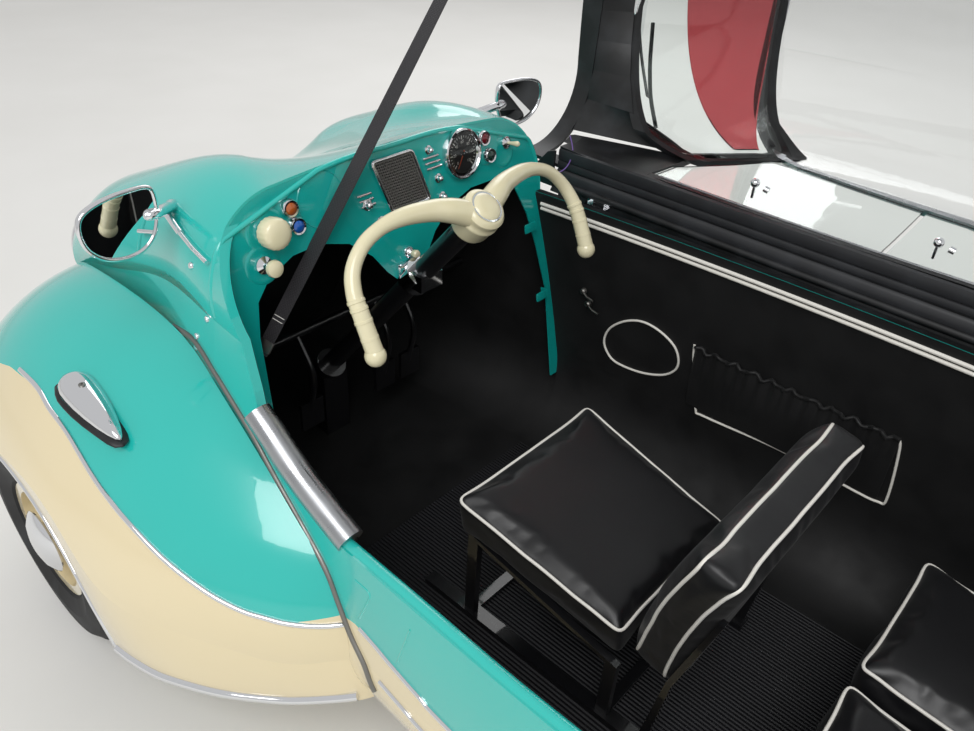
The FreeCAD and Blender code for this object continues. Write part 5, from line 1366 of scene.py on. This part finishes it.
def rail_moulding():
    """The ribbed rubber moulding that faces the canopy's base rail: a roll below and two flat bands."""
    profile = [(-402, 700), (-396, 701), (-393, 706), (-392, 716), (-393, 726), (-396, 730), (-399, 732),
               (-396, 734), (-395, 737), (-395, 744), (-396, 747), (-399, 748.5), (-396, 750), (-395, 753),
               (-395, 766), (-396, 770), (-402, 772)]
    front, rear, count = 303, 1474, len(profile)
    corners = [(x, y, z) for y in (front, rear) for x, z in profile]
    faces = [(k, (k + 1) % count, count + (k + 1) % count, count + k) for k in range(count)]
    faces += [tuple(range(count)), tuple(range(2 * count - 1, count - 1, -1))]
    strip = settle(sheet_of("rail_moulding", corners, faces), "rail_moulding", rail_rubber)
    carried_by("canopy", "black_rubber", strip)


def corner_boot():
    """The soft rubber in the corner of dash, right wall and canopy, which on the car folds as the canopy shuts;
    here it is a flat plate.
    """
    upright = Matrix(((0, 0, 1, 0), (1, 0, 0, 0), (0, 1, 0, 0), (0, 0, 0, 1)))
    outline = [(246, 698), (304, 698), (304, 770), (286, 764), (262, 736), (246, 726)]
    boot = plate("corner_boot", outline, 5, rubber, Matrix.Translation((-0.387, 0, 0)) @ upright, soften=1.5)
    carried_by("chassis", "black_rubber", boot)
    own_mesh(boot)


def window_edges():
    """The sliding windows' black sill and its thin bright edge."""
    low_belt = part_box("side_windows")[1].x / MM
    sill_top = HINGE_Z - (low_belt - HINGE_X)
    sill = lining("window_sill_rubber", "dome_frame", lambda c, n: closed_height(c) < sill_top + 9, 0.5,
                  rubber)
    carried_by("canopy", "black_rubber", sill)
    frame_skin = surface_of(nodes["dome_frame"], nodes["windscreen_frame"])
    edge_x = HINGE_X - (sill_top - 2 - HINGE_Z)
    front, length, stations = 500, 960, 50
    parts = []
    for way in (1, -1):
        line = []
        for k in range(stations):
            start = Vector((edge_x, front + length * k / (stations - 1), OPEN_MIDDLE))
            hit = frame_skin.ray_cast(start * MM, Vector((0, 0, way)), 0.5)
            if hit[0] is not None:
                line.append(hit[0] / MM)
        if len(line) > 4:
            parts.append(drawn("edge", line, 2.6, aluminium))
    carried_by("canopy", "polished_frame", joined(parts, "window_edges"))


def hoop_rubber():
    """The rubber round the hoop, found on the dome's skin where it crosses the hoop's line in side view."""
    skin = surface_of(nodes["dome"], nodes["dome_frame"])
    side_view = flowing([(474, 1160), (488, 1130), (511, 1098), (553, 1056), (607, 1006)])

    def line_height(y):
        for a, b in zip(side_view, side_view[1:]):
            if a[0] <= y <= b[0]:
                return a[1] + (b[1] - a[1]) * (y - a[0]) / max(1e-6, b[0] - a[0])
        return side_view[0][1] if y < side_view[0][0] else side_view[-1][1]

    bead = []
    for k in range(61):
        angle = math.radians(-74 + 148 * k / 60)
        low, high, spot = HOOP_FRONT, HOOP_REAR, None
        for _ in range(14):
            y = (low + high) / 2
            start = opened(0, y, HOOP_CENTRE)
            way = opened(math.sin(angle), y, HOOP_CENTRE + math.cos(angle)) - start
            hit = skin.ray_cast(start * MM, way, 0.6)
            if hit[0] is not None:
                spot = hit[0] / MM
            if hit[0] is None or closed_height(spot) < line_height(y):
                low = y
            else:
                high = y
        if spot is not None and HOOP_FRONT + 4 < y < HOOP_REAR - 3:
            bead.append(spot + Vector((0, -9, 0)))
    if len(bead) > 8:
        carried_by("canopy", "black_rubber", drawn("hoop_rubber", bead, 9.5, rubber, round_steps=5))


def window_catches():
    """Ball catches on the sliding windows, each with its small second grip."""
    x, from_middle = -446, 295
    parts = []
    for side in (1, -1):
        for y in (678, 977):
            z = OPEN_MIDDLE - side * from_middle
            parts.append(ball("ball", (x, y, z), 8, chrome, segments=24, rings=14))
            parts.append(drawn("stalk", [(x, y, z), (x, y, z - side * 26)], 2.6, chrome))
            grip = [(x - 4, y + 16, z - side * 6), (x - 5, y + 24, z - side * 8)]
            parts.append(drawn("second", grip, 5.5, chrome))
    carried_by("canopy", "chrome_trim", joined(parts, "window_catches"))


def inside_mirror():
    """The small mirror on its stalk inside the windscreen."""
    at = Matrix.Translation((-0.620, 0.300, 0.998))
    turn = at @ Matrix.Rotation(math.radians(90), 4, "X") @ Matrix.Rotation(math.radians(90), 4, "Z")
    face = oblong(62, 17, 15)
    back = plate("back", face, 10, chrome, turn, soften=3.5, steps=3)
    glass = plate("glass", [(p.x * 0.95, p.y * 0.9) for p in face], 0.8, mirror_glass,
                  turn @ Matrix.Translation((0, 0, -0.0007)))
    stalk = drawn("stalk", [(-620, 292, 1000), (-612, 262, 1040), (-604, 246, 1100)], 4.5, chrome)
    carried_by("canopy", "chrome_trim", joined([back, glass, stalk], "inside_mirror"))


rail_moulding()
corner_boot()
window_edges()
hoop_rubber()
window_catches()
inside_mirror()


# Wheels and tail

def wheel_dressing(name, side):
    """Tread ribs round a tyre, and on the outside a plated cap with the wheel's nuts round it."""
    low, high = in_mm(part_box("tyre_" + name))
    centre, tread_radius = (low + high) / 2, (high.z - low.z) / 2
    place = Matrix.Translation(centre * MM) @ Matrix.Rotation(math.radians(90 * side), 4, "Y")
    pitch, half_top, half_foot, groove = 13.5, 4.6, 5, 3
    ribs = []
    for k in (-2, -1, 0, 1, 2):
        across, foot = k * pitch, tread_radius - groove
        rings = [(foot, across - half_foot), (tread_radius, across - half_top),
                 (tread_radius, across + half_top), (foot, across + half_foot)]
        ribs.append(turned("rib", rings, tyre_rubber, place, sides=96))
    tread = joined(ribs, "tread_" + name)
    nut_circle, nut_foot = 0.075, 0.012
    cap_rings = [(58, 40), (60, 43), (56, 47), (40, 56), (22, 60), (0.02, 61)]
    nuts = [turned("cap", cap_rings, chrome, place, sides=48)]
    for k in range(4):
        angle = math.radians(45 + 90 * k)
        spot = Matrix.Translation((nut_circle * math.cos(angle), nut_circle * math.sin(angle), nut_foot))
        nuts.append(turned("nut", [(8.5, 0), (8.5, 7), (6.5, 9), (4, 9), (4, 12), (0.02, 12.5)], plain_steel,
                           place @ spot, sides=6))
    return tread, joined(nuts, "cap_" + name)


for name, side in (("front_left", 1), ("front_right", -1), ("rear", 1)):
    tread, cap = wheel_dressing(name, side)
    carried_by("wheel_" + name, "tyre_rubber", tread)
    carried_by("wheel_" + name, "chrome_trim", cap)


def tail_lamp_rings():
    """Plated rings round the two tail lamps."""
    low, high = in_mm(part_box("tail_lamps"))
    height = (low.z + high.z) / 2
    parts = []
    for side in (1, -1):
        place = Matrix.Translation((side * (high.x - 28) * MM, (high.y - 24) * MM, height * MM))
        place = place @ Matrix.Rotation(math.radians(-90), 4, "X")
        parts.append(turned("ring", [(27, 1), (31, 1), (32, 4), (30, 8), (27.5, 8)], chrome, place, sides=40))
    carried_by("tail_lid", "chrome_trim", joined(parts, "tail_lamp_rings"))


tail_lamp_rings()


# Room and light

WHITE = (1, 1, 1, 1)
LIT_STRENGTH, SEEN_STRENGTH = 0.62, 1.0
# Name, place in metres, size in metres and power in watts
LAMPS = [("key", (3.2, 2.4, 4.6), 3.0, 150), ("fill", (-3.6, -1.8, 3.6), 3.2, 60)]
LIT_MIDDLE = (0, 0.8, 0.5)


def room():
    """A pale floor, a white world that the camera sees at full strength, and two soft lamps."""
    ground = min(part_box(name)[0].z for name in ("tyre_front_left", "tyre_rear"))
    alone()
    bpy.ops.mesh.primitive_plane_add(size=60, location=(0, 1, ground - 0.0005))
    floor = bpy.context.object
    floor.name = "studio_floor"
    pale, shader = finish("studio_floor", "#E9E8E4", 0.75)
    where = add(pale, "TexCoord").outputs["Object"]
    cloud = add(pale, "TexNoise", {"Scale": 2.0, "Detail": 6.0}, {"Vector": where})
    tone = add(pale, "Mix", {TONE_A: linear("#E4E3DF"), TONE_B: linear("#EEEDEA")}, {0: cloud.outputs["Fac"]},
               data_type="RGBA")
    join(pale, tone.outputs[MIXED], shader, "Base Color")
    floor.data.materials.append(pale)

    world = bpy.data.worlds.new("studio")
    bpy.context.scene.world = world
    world.use_nodes = True
    tree = world.node_tree
    light = tree.nodes["Background"]
    light.inputs["Color"].default_value = WHITE
    light.inputs["Strength"].default_value = LIT_STRENGTH
    seen = add(world, "Background", {"Color": WHITE, "Strength": SEEN_STRENGTH})
    rays = add(world, "LightPath")
    shown = add(world, "MixShader", links={0: rays.outputs["Is Camera Ray"], 1: light.outputs[0],
                                           2: seen.outputs[0]})
    join(world, shown.outputs[0], tree.nodes["World Output"], "Surface")

    for name, spot, size, watts in LAMPS:
        alone()
        bpy.ops.object.light_add(type="AREA", location=spot)
        lamp = bpy.context.object
        lamp.name = name
        lamp.data.size = size
        lamp.data.energy = watts
        aim = Vector(LIT_MIDDLE) - Vector(spot)
        lamp.rotation_euler = aim.to_track_quat("-Z", "Y").to_euler()


room()
bpy.context.scene.view_settings.view_transform = "Standard"
